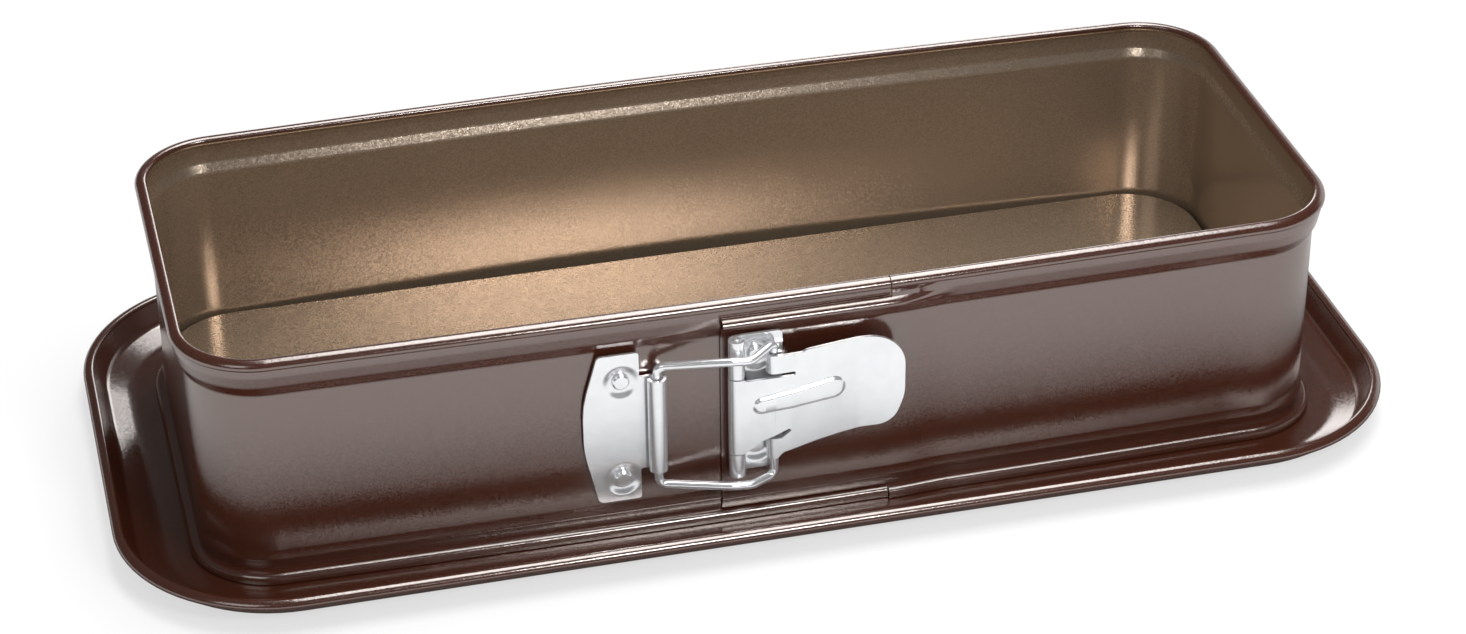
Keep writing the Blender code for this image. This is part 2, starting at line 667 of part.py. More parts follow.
def lever(material):
    """The lever: knuckle round the pin, body, two ears for the wire and a finger tip."""
    body_y = PIN_Y - KNUCKLE_BORE - 0.5 * LEVER_SHEET
    tip = [Vector((LEVER_TIP_X + 0.001, LEVER_TIP_Y)), Vector((LEVER_BEND_X + 0.0020,
           LEVER_DIP_Y - 0.0002)), Vector((LEVER_BEND_X - 0.0020, LEVER_DIP_Y - 0.0001))]
    flat = tip + [Vector((EAR_X + 0.0040, body_y))]
    knuckle = roll((PIN_X, PIN_Y), KNUCKLE_BORE + 0.5 * LEVER_SHEET, -90.0, -250.0)
    ear = roll((EAR_X, EAR_Y), EAR_RADIUS - 0.5 * LEVER_SHEET, -90.0, -270.0)
    body = Route(flat, knuckle)
    ears = Route(flat, ear)
    slot_end = 0.0014
    tip_height = LEVER_TIP_TOP - LEVER_TIP_BOTTOM

    def route_at(point):
        beside = point.y > LEVER_BODY_TOP + 0.0002 or point.y < EAR_LOW_TOP + 0.0002
        return ears if beside and point.x > ears.end - 0.0002 else body

    outline = rounded([(body.end, KNUCKLE_LOW_TOP + CLEARANCE, 0),
                       (PIN_X + 0.0014, KNUCKLE_LOW_TOP + CLEARANCE, 0.0005),
                       (-0.0073, EAR_LOW_TOP, 0.0020),
                       (-0.0040, EAR_LOW_TOP + 0.0011, 0.0030),
                       (-0.0002, EAR_LOW_TOP + 0.0027, 0.0002),
                       (0.0004, EAR_LOW_TOP + 0.0020, 0.0002),
                       (-0.0022, EAR_LOW_TOP, 0.0005),
                       (ears.end, EAR_LOW_TOP, 0),
                       (ears.end, EAR_LOW_BOTTOM, 0),
                       (EAR_X + 0.0004, EAR_LOW_BOTTOM, 0.0004),
                       (EAR_X + 0.0020, LEVER_BOTTOM, 0.0015),
                       (0.0076, LEVER_BOTTOM + 0.0019, 0.0040),
                       (0.0137, LEVER_TIP_BOTTOM - 0.0008, 0.0060),
                       (LEVER_TIP_X - 0.0030, LEVER_TIP_BOTTOM + 0.0004, 0.0065),
                       (LEVER_TIP_X, LEVER_TIP_BOTTOM + 0.33 * tip_height, 0.0130),
                       (LEVER_TIP_X, LEVER_TIP_TOP, 0.0085),
                       (0.0137, LEVER_TOP + 0.0004, 0.0060),
                       (0.0042, LEVER_TOP, 0.0010),
                       (0.0036, LEVER_TOP - 0.0005, 0.0003),
                       (EAR_X + 0.0012, EAR_HIGH_TOP - 0.0003, 0.0006),
                       (ears.end, EAR_HIGH_TOP - 0.0003, 0),
                       (ears.end, EAR_HIGH_BOTTOM, 0),
                       (slot_end, EAR_HIGH_BOTTOM, 0.0004),
                       (slot_end, LEVER_BODY_TOP, 0.0004),
                       (PIN_X + 0.0020, LEVER_BODY_TOP, 0.0005),
                       (PIN_X + 0.0014, KNUCKLE_HIGH_BOTTOM - CLEARANCE, 0.0003),
                       (body.end, KNUCKLE_HIGH_BOTTOM - CLEARANCE, 0)])

    def press(point):
        share = min(max(rib_share(point) / RIB_SLOPE, 0.0), 1.0)
        return -RIB_HEIGHT * share

    return formed_sheet("lever", material, outline, route_at, [body, ears], LEVER_SHEET,
                        [rib_loop(0.0), rib_loop(RIB_SLOPE)], [], press,
                        (PIN_X, PIN_Y, 0.0))


# The wire

def wire_bail(material):
    """The wire: through the barrel, out over the knuckles and hooked to the lever's ears."""
    stand_off = CLEARANCE
    high_end = (EAR_X, EAR_Y, EAR_HIGH_TOP + stand_off)
    low_end = (EAR_X, EAR_Y, EAR_LOW_BOTTOM - stand_off)
    corners = [(*high_end, 0),
               (EAR_X, EAR_Y, HOOK_HIGH, 0.0012),
               (PIN_X + 0.0030, ARM_FRONT_Y, ARM_HIGH + 0.7 * ARM_RISE, 0.0040),
               (PIN_X - 0.0020, ARM_FRONT_Y, ARM_HIGH + ARM_RISE, 0.0060),
               (BARREL_X, BARREL_Y, ARM_HIGH, WIRE_BEND),
               (BARREL_X, BARREL_Y, ARM_LOW + 0.0006, WIRE_BEND),
               (PIN_X - 0.0020, ARM_FRONT_Y, ARM_LOW, 0.0060),
               (PIN_X + 0.0030, ARM_FRONT_Y, HOOK_LOW, 0.0040),
               (EAR_X, EAR_Y, HOOK_LOW, WIRE_BEND),
               (*low_end, 0)]
    line = rounded(corners, closed=False)
    curve = bpy.data.curves.new("wire_bail", "CURVE")
    curve.dimensions = "3D"
    spline = curve.splines.new("POLY")
    spline.points.add(len(line) - 1)
    origin = Vector((BARREL_X, BARREL_Y, 0.0))
    for point, place in zip(spline.points, line):
        point.co = (*(place - origin), 1.0)
    curve.bevel_depth = WIRE_RADIUS
    curve.bevel_resolution = 3
    curve.use_fill_caps = True
    curve.materials.append(material)
    obj = bpy.data.objects.new("wire_bail", curve)
    obj.location = origin
    bpy.context.scene.collection.objects.link(obj)
    return obj


def drill(target, name, centre):
    """A hole for a rivet's shank, cut by a hidden cylinder."""
    bm = bmesh.new()
    turn = Matrix.Rotation(math.radians(90.0), 4, "X")
    place = Matrix.Translation((centre[0], wall_y(centre[0]), centre[1]))
    bmesh.ops.create_cone(bm, cap_ends=True, segments=16, radius1=SHANK_RADIUS + CLEARANCE,
                          radius2=SHANK_RADIUS + CLEARANCE, depth=0.008, matrix=place @ turn)
    mesh = bpy.data.meshes.new(name)
    bm.to_mesh(mesh)
    bm.free()
    cutter = bpy.data.objects.new(name, mesh)
    cutter.hide_render = True
    cutter.display_type = "WIRE"
    bpy.context.scene.collection.objects.link(cutter)
    cut = target.modifiers.new(name, "BOOLEAN")
    cut.operation = "DIFFERENCE"
    cut.object = cutter


def main():
    for obj in list(bpy.data.objects):
        bpy.data.objects.remove(obj, do_unlink=True)
    wall = metal("mocha_coating", (0.16, 0.085, 0.062), 0.38)
    tray = metal("bronze_coating", (0.36, 0.25, 0.16), 0.40)
    latch = metal("nickel_steel", (0.72, 0.72, 0.71), 0.28)

    base_tray(tray)
    left = ring_left(wall)
    right = ring_right(wall)
    left_bracket(latch)
    right_bracket(latch)
    for centre, name in zip(LEFT_RIVETS, ("rivet_left_upper", "rivet_left_lower")):
        inner_y = wall_y(centre[0]) + WALL_SHEET
        rivet(name, latch, centre, LEFT_PLATE_Y, inner_y, True)
        drill(left, name + "_hole", centre)
    for centre, name in zip(RIGHT_RIVETS, ("rivet_right_upper", "rivet_right_lower")):
        inner_y = wall_y(centre[0], JOGGLE) + WALL_SHEET
        rivet(name, latch, centre, RIGHT_PLATE_Y, inner_y, False)
        drill(right, name + "_hole", centre)
    hinge_pin(latch)
    lever(latch)
    wire_bail(latch)


main()
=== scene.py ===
"""A rectangular springform pan on its drip tray, as a sidebar panel of operators."""

import math

import bmesh
import bpy
from bpy.props import FloatProperty, FloatVectorProperty, PointerProperty
from bpy.types import Operator, Panel, PropertyGroup
from mathutils import Matrix, Vector
from mathutils.geometry import delaunay_2d_cdt


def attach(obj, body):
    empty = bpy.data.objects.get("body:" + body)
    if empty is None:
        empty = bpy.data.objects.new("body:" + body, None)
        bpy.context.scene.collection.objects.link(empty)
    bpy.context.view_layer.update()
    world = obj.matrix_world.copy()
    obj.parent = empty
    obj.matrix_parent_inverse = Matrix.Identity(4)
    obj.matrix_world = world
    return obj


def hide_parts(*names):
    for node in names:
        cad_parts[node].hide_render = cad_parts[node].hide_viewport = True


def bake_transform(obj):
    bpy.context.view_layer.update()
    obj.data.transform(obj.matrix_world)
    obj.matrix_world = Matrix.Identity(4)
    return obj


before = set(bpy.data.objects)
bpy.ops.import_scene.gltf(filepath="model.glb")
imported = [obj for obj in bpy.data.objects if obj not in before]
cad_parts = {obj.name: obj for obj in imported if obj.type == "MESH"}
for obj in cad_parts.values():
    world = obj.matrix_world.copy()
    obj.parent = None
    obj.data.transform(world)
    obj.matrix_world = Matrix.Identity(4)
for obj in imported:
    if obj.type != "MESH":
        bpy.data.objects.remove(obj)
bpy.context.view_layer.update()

bl_info = {
    "name": "Springform Pan",
    "version": (1, 0, 0),
    "blender": (4, 5, 0),
    "location": "3D View > Sidebar > Springform",
    "description": "Builds a rectangular springform pan with its latch and drip tray",
    "category": "Add Mesh",
}

ARC_STEP = math.radians(9)
CLEARANCE = 0.0003

# The wall strip's section: reaches out of its face, drops under the rim's centre, heights
NECK_OUT = 0.0020
NECK_DROP = 0.0020
BAND_OUT = 0.0019
BAND_TOP_DROP = 0.0033
BAND_STEPS = 8
SHOULDER_OUT = 0.00125
SHOULDER_DROP = 0.0066
SHOULDER_ROUND = 0.0030
WALL_TOP_DROP = 0.0094
FOOT_REACH = 0.0028
FOOT_HEIGHT = 0.0021
FOOT_ROUND = 0.0014
GROOVE_OUT = 0.0006
GROOVE_HEIGHT = 0.0059
GROOVE_ROUND = 0.0015
GROOVE_TOP = 0.0085
GROOVE_TOP_ROUND = 0.0020
FLAP_FOOT_GAP = 0.0030
SLIT = 0.0003
SPRING_LENGTH = 0.024

# How far the flap's band bulges, as a share of the joggle, and where it does so most
CURL = 2.1
CURL_DROP = 0.0052

# The rolled edges: degrees of the roll, the share of it in the outer coating, which way
# it is pressed flat, and its two half widths as shares of the radius
ROLL_TURN = 300.0
OUTSIDE_SHARE = 0.80
BEAD_FACE = math.radians(56)
BEAD_WIDE = 1.05
BEAD_FLAT = 0.78

# The drip tray's section
FLOOR_HEIGHT = 0.0122
FLOOR_CLEARANCE = 0.0007
FLOOR_CORNER_RADIUS = 0.0200
FLOOR_EDGE_RADIUS = 0.0009
FLOOR_FOOT_RADIUS = 0.0007
MOAT_INSET = 0.0108
MOAT_LEAD = 0.0040
MOAT_ROUND = 0.0080
CREASE_INSET = 0.0040
CREASE_HEIGHT = 0.0032
CREASE_ROUND = 0.0030

# The latch, as places along X and heights on the front of the pan
SEAT_GAP = 0.00025
DISH_DEPTH = 0.0008
DISH_RADIUS = 0.0052
DISH_RINGS = 5
DISH_SEGMENTS = 64
SEAT_RADIUS = 0.0027
HEAD_HEIGHT = 0.0009
SHANK_RADIUS = 0.0012
TAIL_RADIUS = 0.0019
TAIL_HEIGHT = 0.0005
PIN_OVERHANG = 0.0004
BARREL_RADIUS = 0.00245
EAR_RADIUS = 0.00205
BARREL = Vector((-0.0336, -0.0617))
PIN = Vector((-0.0133, -0.0632))
EAR = Vector((-0.0037, -0.06345))
LEFT_EDGE_X = -0.0380
LEFT_PLATE_BULGE_X = -0.0525
LEFT_PLATE_TOP = 0.0549
LEFT_PLATE_BOTTOM = 0.0113
BARREL_BOTTOM = 0.0202
BARREL_TOP = 0.0476
LEFT_RIVETS = (Vector((-0.0425, 0.0467)), Vector((-0.0425, 0.0177)))
RIGHT_EDGE_X = -0.0010
RIGHT_PLATE_TOP = 0.0565
RIGHT_PLATE_BOTTOM = 0.0161
RIGHT_RIVETS = (Vector((-0.0078, 0.0503)), Vector((-0.0078, 0.0229)))
KNUCKLE_LOW_TOP = 0.0230
KNUCKLE_HIGH_BOTTOM = 0.0457
LEVER_BODY_TOP = 0.0449
LEVER_TOP = 0.0517
LEVER_BOTTOM = 0.0223
LEVER_TIP_X = 0.0303
LEVER_TIP_TOP = 0.0526
LEVER_TIP_BOTTOM = 0.0258
LEVER_BEND_X = 0.0190
LEVER_DIP_Y = -0.0632
LEVER_TIP_Y = -0.0653
EAR_HIGH_BOTTOM = 0.0461
EAR_HIGH_TOP = 0.0516
EAR_LOW_BOTTOM = 0.0206
EAR_LOW_TOP = 0.0265
RIB_START = Vector((-0.0074, 0.0373))
RIB_END = Vector((0.0116, 0.0392))
RIB_RADII = (0.0026, 0.0034)
RIB_SLOPE = 0.0012
RIB_RINGS = 4
ARM_HIGH = 0.0509
ARM_RISE = 0.0015
ARM_LOW = 0.0150
ARM_FRONT_Y = -0.0668
HOOK_HIGH = 0.0543
HOOK_LOW = 0.0146
WIRE_BEND = 0.0022

# How far a route runs on beyond its outline, its marks' step along a roll, and how far
# past an ear's or the body's edge a point still follows it
ROUTE_LEAD = 0.001
ROLL_STEP = 0.0001
EAR_MARGIN = 0.0002

# Degrees that sheet is rolled round the wire, the pin and the ears
BARREL_TURN = -275.0
KNUCKLE_TURN = 255.0
LEVER_KNUCKLE_TURN = -250.0
EAR_TURN = -270.0

# The coatings: how far a metallic fleck leans out of the face, how much flecks and
# mottling lighten or darken, the fine texture, and each one's side and metallic share
FLECK_LEAN = 0.045
SPARKLE = (0.84, 1.16)
MOTTLE = (0.94, 1.06)
MOTTLE_SCALE = 60.0
ROUGHNESS_SPREAD = (-0.03, 0.04)
TEXTURE_SCALE = 0.7
TEXTURE_STRENGTH = 0.16
TEXTURE_DEPTH = 0.00004
SPECULAR_TINT = (1.0, 0.94, 0.90, 1.0)
COATINGS = {"outside_coating": ("outside", 0.0), "inside_coating": ("inside", 0.55)}

# The plating: drawing lines, and patches of wear
LINE_SCALE = (300.0, 300.0, 4000.0)
LINE_STRENGTH = 0.12
PLATING_ROUGHNESS = (0.15, 0.25)
WEAR = (0.92, 1.06)
WEAR_SCALE = 240.0
PLATING_METALLIC = 0.75

# The floor's own glow to the camera, and the level of the shade painted round the tray in
# its reflections, at the tray's rim
FLOOR_GLOW = 0.62
PAINTED_RIM_SHADE = 0.12

# The pale backdrop in reflections: the angles above the floor where it fades, the way
# towards it, and the angles round that way where it fades
BACKDROP_TOP = (math.radians(17), math.radians(30))
BACKDROP_PLACE = (0.56, 0.83, 0.0)
BACKDROP_SPREAD = (math.radians(22), math.radians(46))

# The lights: place, aim, size, and the setting that holds the power
LIGHTS = {
    "main_light": ((0.24, 0.06, 1.20), (0.24, 0.07, 0.03), (0.64, 0.98), "key_power"),
    "front_light": ((-0.75, -0.80, 0.75), (0.0, 0.0, 0.03), (0.50, 0.50), "front_power"),
    "near_light": ((0.055, -0.37, 0.26), (0.02, 0.0, 0.03), (0.12, 0.06), "near_power"),
    "back_light": ((0.25, 0.55, 1.00), (0.0, 0.0, 0.03), (0.40, 0.40), "back_power"),
    "low_light": ((0.274, 0.76, 0.250), (-0.165, 0.01, 0.004), (0.26, 0.24), "low_power"),
}

# The camera, from the photograph's vanishing lines
CAMERA_PLACE = (-0.19690, -0.80790, 0.53449)
CAMERA_RIGHT = (0.969935, -0.243226, -0.008204)
CAMERA_UP = (0.134131, 0.506149, 0.851952)
CAMERA_LENS = 88.79


def distance(name, default, description):
    return FloatProperty(name=name, description=description, default=default,
                         unit="LENGTH", subtype="DISTANCE")


def factor(name, default, description, low=0, high=1):
    return FloatProperty(name=name, description=description, default=default,
                         min=low, max=high)


def power(name, default, description):
    return FloatProperty(name=name, description=description, default=default, unit="POWER")


def colour(name, default, description):
    return FloatVectorProperty(name=name, description=description, default=default,
                               size=3, min=0, max=1, subtype="COLOR")


class WallSizes(PropertyGroup):
    length: distance("Length", 0.2980, "Length over the wall's outer faces")
    width: distance("Width", 0.1150, "Width over the wall's outer faces")
    corner: distance("Corner radius", 0.0197, "Radius of the wall's corners")
    front_bow: distance("Front bow", 0.0013, "How far the front bows out")
    back_bow: distance("Back bow", 0.0023, "How far the back bows out")
    sheet: distance("Sheet", 0.0006, "Thickness of the wall strip")
    rim_height: distance("Rim height", 0.0642, "Foot to centre of the rim")
    bead_radius: distance("Rim radius", 0.00165, "Radius of the rolled rim")
    lap: distance("Overlap start", 0.02745, "Where the rims meet, along X")
    flap_tip: distance("Overlap end", -0.0166, "Free edge of the flap")
    joggle_length: distance("Joggle", 0.0180, "Length of the flap's offset")


class TraySizes(PropertyGroup):
    sheet: distance("Sheet", 0.0006, "Thickness of the tray")
    length_reach: distance("End reach", 0.0203, "Wall to rim at the ends")
    width_reach: distance("Side reach", 0.0220, "Wall to rim at the sides")
    corner: distance("Corner radius", 0.0420, "Radius of the tray's corners")
    bead_radius: distance("Rim radius", 0.0015, "Radius of the rolled rim")
    bead_height: distance("Rim height", 0.0083, "Height of the rolled rim")


class LatchSizes(PropertyGroup):
    plate: distance("Plates", 0.0008, "Sheet of the two riveted plates")
    lever: distance("Lever", 0.0009, "Sheet of the lever")
    wire_radius: distance("Wire radius", 0.00115, "Radius of the wire")
    pin_radius: distance("Pin radius", 0.00105, "Radius of the lever's pin")
    head_radius: distance("Rivet head", 0.0023, "Radius of a rivet's head")
    rib_height: distance("Rib height", 0.0007, "Height of the lever's rib")
    edge: distance("Edge rounding", 0.00012, "Rounding of the sheet's edges")


class Finishes(PropertyGroup):
    outside: colour("Outside", (0.055, 0.0125, 0.0050), "Coating outside and under")
    inside: colour("Inside", (0.325, 0.242, 0.168), "Coating of the baking surfaces")
    plating: colour("Latch", (0.88, 0.89, 0.91), "Plating of the latch")
    outside_roughness: factor("Outside roughness", 0.18, "Roughness of the outer coating")
    inside_roughness: factor("Inside roughness", 0.21, "Roughness of the inner coating")
    outside_index: factor("Outside index", 2.45, "Refraction of the outer coating", 1, 4)
    inside_index: factor("Inside index", 2.8, "Refraction of the inner coating", 1, 4)
    grain: distance("Grain", 0.00032, "Size of a metallic fleck")


class StageSettings(PropertyGroup):
    floor: colour("Floor", (0.90, 0.90, 0.90), "Colour of the floor")
    # How far the shade painted round the tray reaches in the floor's reflections
    painted_shade_reach: distance("Shade", 0.045, "Reach of the tray's shade")
    key_power: power("Main light", 11.0, "Power of the light above")
    front_power: power("Front light", 1.2, "Power of the front light")
    near_power: power("Near light", 0.56, "Power of the near light")
    back_power: power("Back light", 1.6, "Power of the back light")
    low_power: power("Low light", 0.60, "Power of the low back light")
    sky: factor("Room light", 0.45, "Brightness of the room")
    dark_room: factor("Room in reflections", 0.07,
                      "Brightness of the room where metal mirrors it")


def settings(group):
    """The values of one of the panel's groups."""
    return getattr(bpy.context.scene, "springform_" + group)


# Plain geometry

def rounded(points, closed=False):
    """Corner points (..., radius) as a line with an arc at each corner."""
    corners = [Vector(point[:-1]) for point in points]
    line = []
    for i, corner in enumerate(corners):
        radius = points[i][-1]
        if radius == 0 or (not closed and i in (0, len(corners) - 1)):
            line.append(corner)
            continue
        back = (corners[i - 1] - corner).normalized()
        ahead = (corners[(i + 1) % len(corners)] - corner).normalized()
        turn = math.pi - back.angle(ahead)
        bisector = (back + ahead).normalized()
        centre = corner + bisector * radius / math.cos(0.5 * turn)
        start = corner + back * radius * math.tan(0.5 * turn) - centre
        across = -bisector * radius
        side = (start - across * math.cos(0.5 * turn)) / math.sin(0.5 * turn)
        steps = max(1, math.ceil(turn / ARC_STEP))
        for step in range(steps + 1):
            angle = 0.5 * turn - turn * step / steps
            line.append(centre + across * math.cos(angle) + side * math.sin(angle))
    return line


def mitres(line):
    """The vector from each point of an open plan line to its unit offset on the left."""
    offsets = []
    for i in range(len(line)):
        before = (line[i] - line[i - 1]).normalized() if i else None
        after = (line[i + 1] - line[i]).normalized() if i + 1 < len(line) else None
        before = before or after
        after = after or before
        left = Vector((-before.y - after.y, before.x + after.x)).normalized()
        offsets.append(left / (left.y * after.x - left.x * after.y))
    return offsets


def both_faces(line, half):
    """The lines half a sheet to the left and to the right of an open line."""
    offsets = mitres(line)
    return ([point + offset * half for point, offset in zip(line, offsets)],
            [point - offset * half for point, offset in zip(line, offsets)])


def polar(centre, radius, angle):
    return Vector((centre[0] + radius * math.cos(angle),
                   centre[1] + radius * math.sin(angle)))


def roll(centre, radius, start, turn):
    """Points round a rolled edge, angles in degrees."""
    steps = math.ceil(abs(math.radians(turn)) / ARC_STEP)
    return [polar(centre, radius, math.radians(start + turn * step / steps))
            for step in range(steps + 1)]


def pressed(points, centre):
    """A rolled edge's points, pressed a little flat where it faces up and out."""
    middle = Vector(centre)
    facing = Vector((math.cos(BEAD_FACE), math.sin(BEAD_FACE)))
    flat = []
    for point in points:
        away = point - middle
        flat.append(middle + away * BEAD_WIDE
                    + facing * (away.dot(facing) * (BEAD_FLAT - BEAD_WIDE)))
    return flat


def eased(share):
    """A share held between 0 and 1, with a gentle start and end."""
    share = min(max(share, 0.0), 1.0)
    return share * share * (3.0 - 2.0 * share)


def circle(centre, radius, count=48):
    return [polar(centre, radius, 2 * math.pi * i / count) for i in range(count)]


def join_loops(bm, first, second, materials=None):
    """Faces between two closed loops of as many points, each with its material."""
    for i in range(len(first)):
        j = (i + 1) % len(first)
        face = bm.faces.new((first[i], first[j], second[j], second[i]))
        if materials:
            face.material_index = materials[i]


def new_object(name, data):
    thing = bpy.data.objects.new(name, data)
    bpy.context.scene.collection.objects.link(thing)
    return thing


def finish_mesh(name, bm, materials, sharp=40.0):
    """Turn a mesh into a named, smoothly shaded object."""
    bmesh.ops.recalc_face_normals(bm, faces=bm.faces)
    mesh = bpy.data.meshes.new(name)
    bm.to_mesh(mesh)
    bm.free()
    for material in materials:
        mesh.materials.append(material)
    mesh.shade_smooth()
    mesh.set_sharp_from_angle(angle=math.radians(sharp))
    return new_object(name, mesh)


def soften_edges(piece, width):
    """Round the cut edges of a sheet and keep its flats flat."""
    bevel = piece.modifiers.new("rounded edges", "BEVEL")
    bevel.width = width
    bevel.segments = 2
    bevel.limit_method = "ANGLE"
    bevel.angle_limit = math.radians(50)
    bevel.harden_normals = True
    weighted = piece.modifiers.new("flat faces", "WEIGHTED_NORMAL")
    weighted.keep_sharp = True
    weighted.weight = 80


def settle(piece, body, node):
    """Let a piece ride on its body in place of a frame node."""
    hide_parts(node)
    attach(piece, body)


# Materials

def fill(tree, node, inputs):
    """Give inputs of a node their constants or another node's output."""
    for socket, value in inputs.items():
        if isinstance(value, bpy.types.NodeSocket):
            tree.links.new(value, node.inputs[socket])
        else:
            node.inputs[socket].default_value = value


def add_node(tree, kind, inputs=None, **values):
    node = tree.nodes.new(kind)
    for name, value in values.items():
        setattr(node, name, value)
    fill(tree, node, inputs or {})
    return node


def calculate(tree, operation, *terms):
    node = add_node(tree, "ShaderNodeMath", dict(enumerate(terms)), operation=operation)
    return node.outputs["Value"]


def calculate_vector(tree, operation, *terms, output="Vector"):
    node = add_node(tree, "ShaderNodeVectorMath", dict(enumerate(terms)),
                    operation=operation)
    return node.outputs[output]


def noise(tree, place, scale, detail=2.0):
    inputs = {"Vector": place, "Scale": scale, "Detail": detail}
    return add_node(tree, "ShaderNodeTexNoise", inputs).outputs["Fac"]


def scaled(tree, value, low, high, start=0.0, end=1.0, blend="LINEAR"):
    """A value that lies between start and end, stretched between low and high."""
    inputs = {"Value": value, "From Min": start, "From Max": end, "To Min": low,
              "To Max": high}
    node = add_node(tree, "ShaderNodeMapRange", inputs, interpolation_type=blend)
    return node.outputs["Result"]


def tinted(tree, shade, level):
    """A colour, made lighter or darker by a level."""
    node = add_node(tree, "ShaderNodeVectorMath", {0: shade, "Scale": level},
                    operation="SCALE")
    return node.outputs["Vector"]


def bumped(tree, height, strength):
    inputs = {"Height": height, "Strength": strength, "Distance": TEXTURE_DEPTH}
    return add_node(tree, "ShaderNodeBump", inputs).outputs["Normal"]


def new_material(name):
    """A material, its tree and its shader."""
    material = bpy.data.materials.new(name)
    material.use_nodes = True
    return material, material.node_tree, material.node_tree.nodes["Principled BSDF"]


def flecked_coating(name, shade, roughness, index, metallic, grain):
    """Non-stick coating on sheet steel: metallic flecks, soft mottling, fine texture."""
    material, tree, shader = new_material(name)
    place = add_node(tree, "ShaderNodeTexCoord").outputs["Object"]
    inputs = {"Scale": 1.0 / grain, "Vector": place}
    flecks = add_node(tree, "ShaderNodeTexVoronoi", inputs).outputs["Color"]
    split = add_node(tree, "ShaderNodeSeparateColor", {"Color": flecks}).outputs
    sparkle = scaled(tree, split["Red"], *SPARKLE)
    mottle = scaled(tree, noise(tree, place, MOTTLE_SCALE), *MOTTLE)
    level = calculate(tree, "MULTIPLY", sparkle, mottle)
    shine = scaled(tree, split["Green"], *(roughness + more for more in ROUGHNESS_SPREAD))
    bump = bumped(tree, noise(tree, place, TEXTURE_SCALE / grain, 3.0), TEXTURE_STRENGTH)
    lean = calculate_vector(tree, "MULTIPLY_ADD", flecks, (FLECK_LEAN,) * 3,
                            (-0.5 * FLECK_LEAN,) * 3)
    leaning = calculate_vector(tree, "ADD", bump, lean)
    fill(tree, shader, {"Base Color": tinted(tree, shade, level), "Roughness": shine,
                        "Normal": calculate_vector(tree, "NORMALIZE", leaning),
                        "IOR": index, "Metallic": metallic, "Specular Tint": SPECULAR_TINT})
    return material


def plated_steel(name, shade):
    """Bright plating over pressed sheet: faint drawing lines and a little wear."""
    material, tree, shader = new_material(name)
    place = add_node(tree, "ShaderNodeTexCoord").outputs["Object"]
    stretch = add_node(tree, "ShaderNodeMapping", {"Scale": LINE_SCALE, "Vector": place})
    lines = noise(tree, stretch.outputs["Vector"], 1.0, 3.0)
    level = scaled(tree, noise(tree, place, WEAR_SCALE, 4.0), *WEAR)
    fill(tree, shader, {"Base Color": tinted(tree, shade, level),
                        "Roughness": scaled(tree, lines, *PLATING_ROUGHNESS),
                        "Normal": bumped(tree, lines, LINE_STRENGTH),
                        "Metallic": PLATING_METALLIC})
    return material


def finish_named(name):
    """One of the three finishes, made the first time that it is asked for."""
    known = bpy.data.materials.get(name)
    if known:
        return known
    finishes = settings("finishes")
    if name not in COATINGS:
        return plated_steel(name, finishes.plating)
    side, metallic = COATINGS[name]
    shade, roughness, index = (getattr(finishes, side + part)
                               for part in ("", "_roughness", "_index"))
    return flecked_coating(name, shade, roughness, index, metallic, finishes.grain)


def coated_mesh(name, bm):
    """A piece of coated sheet: material 0 is the outer coating, 1 the inner one."""
    return finish_mesh(name, bm, [finish_named(coating) for coating in COATINGS])


# The wall

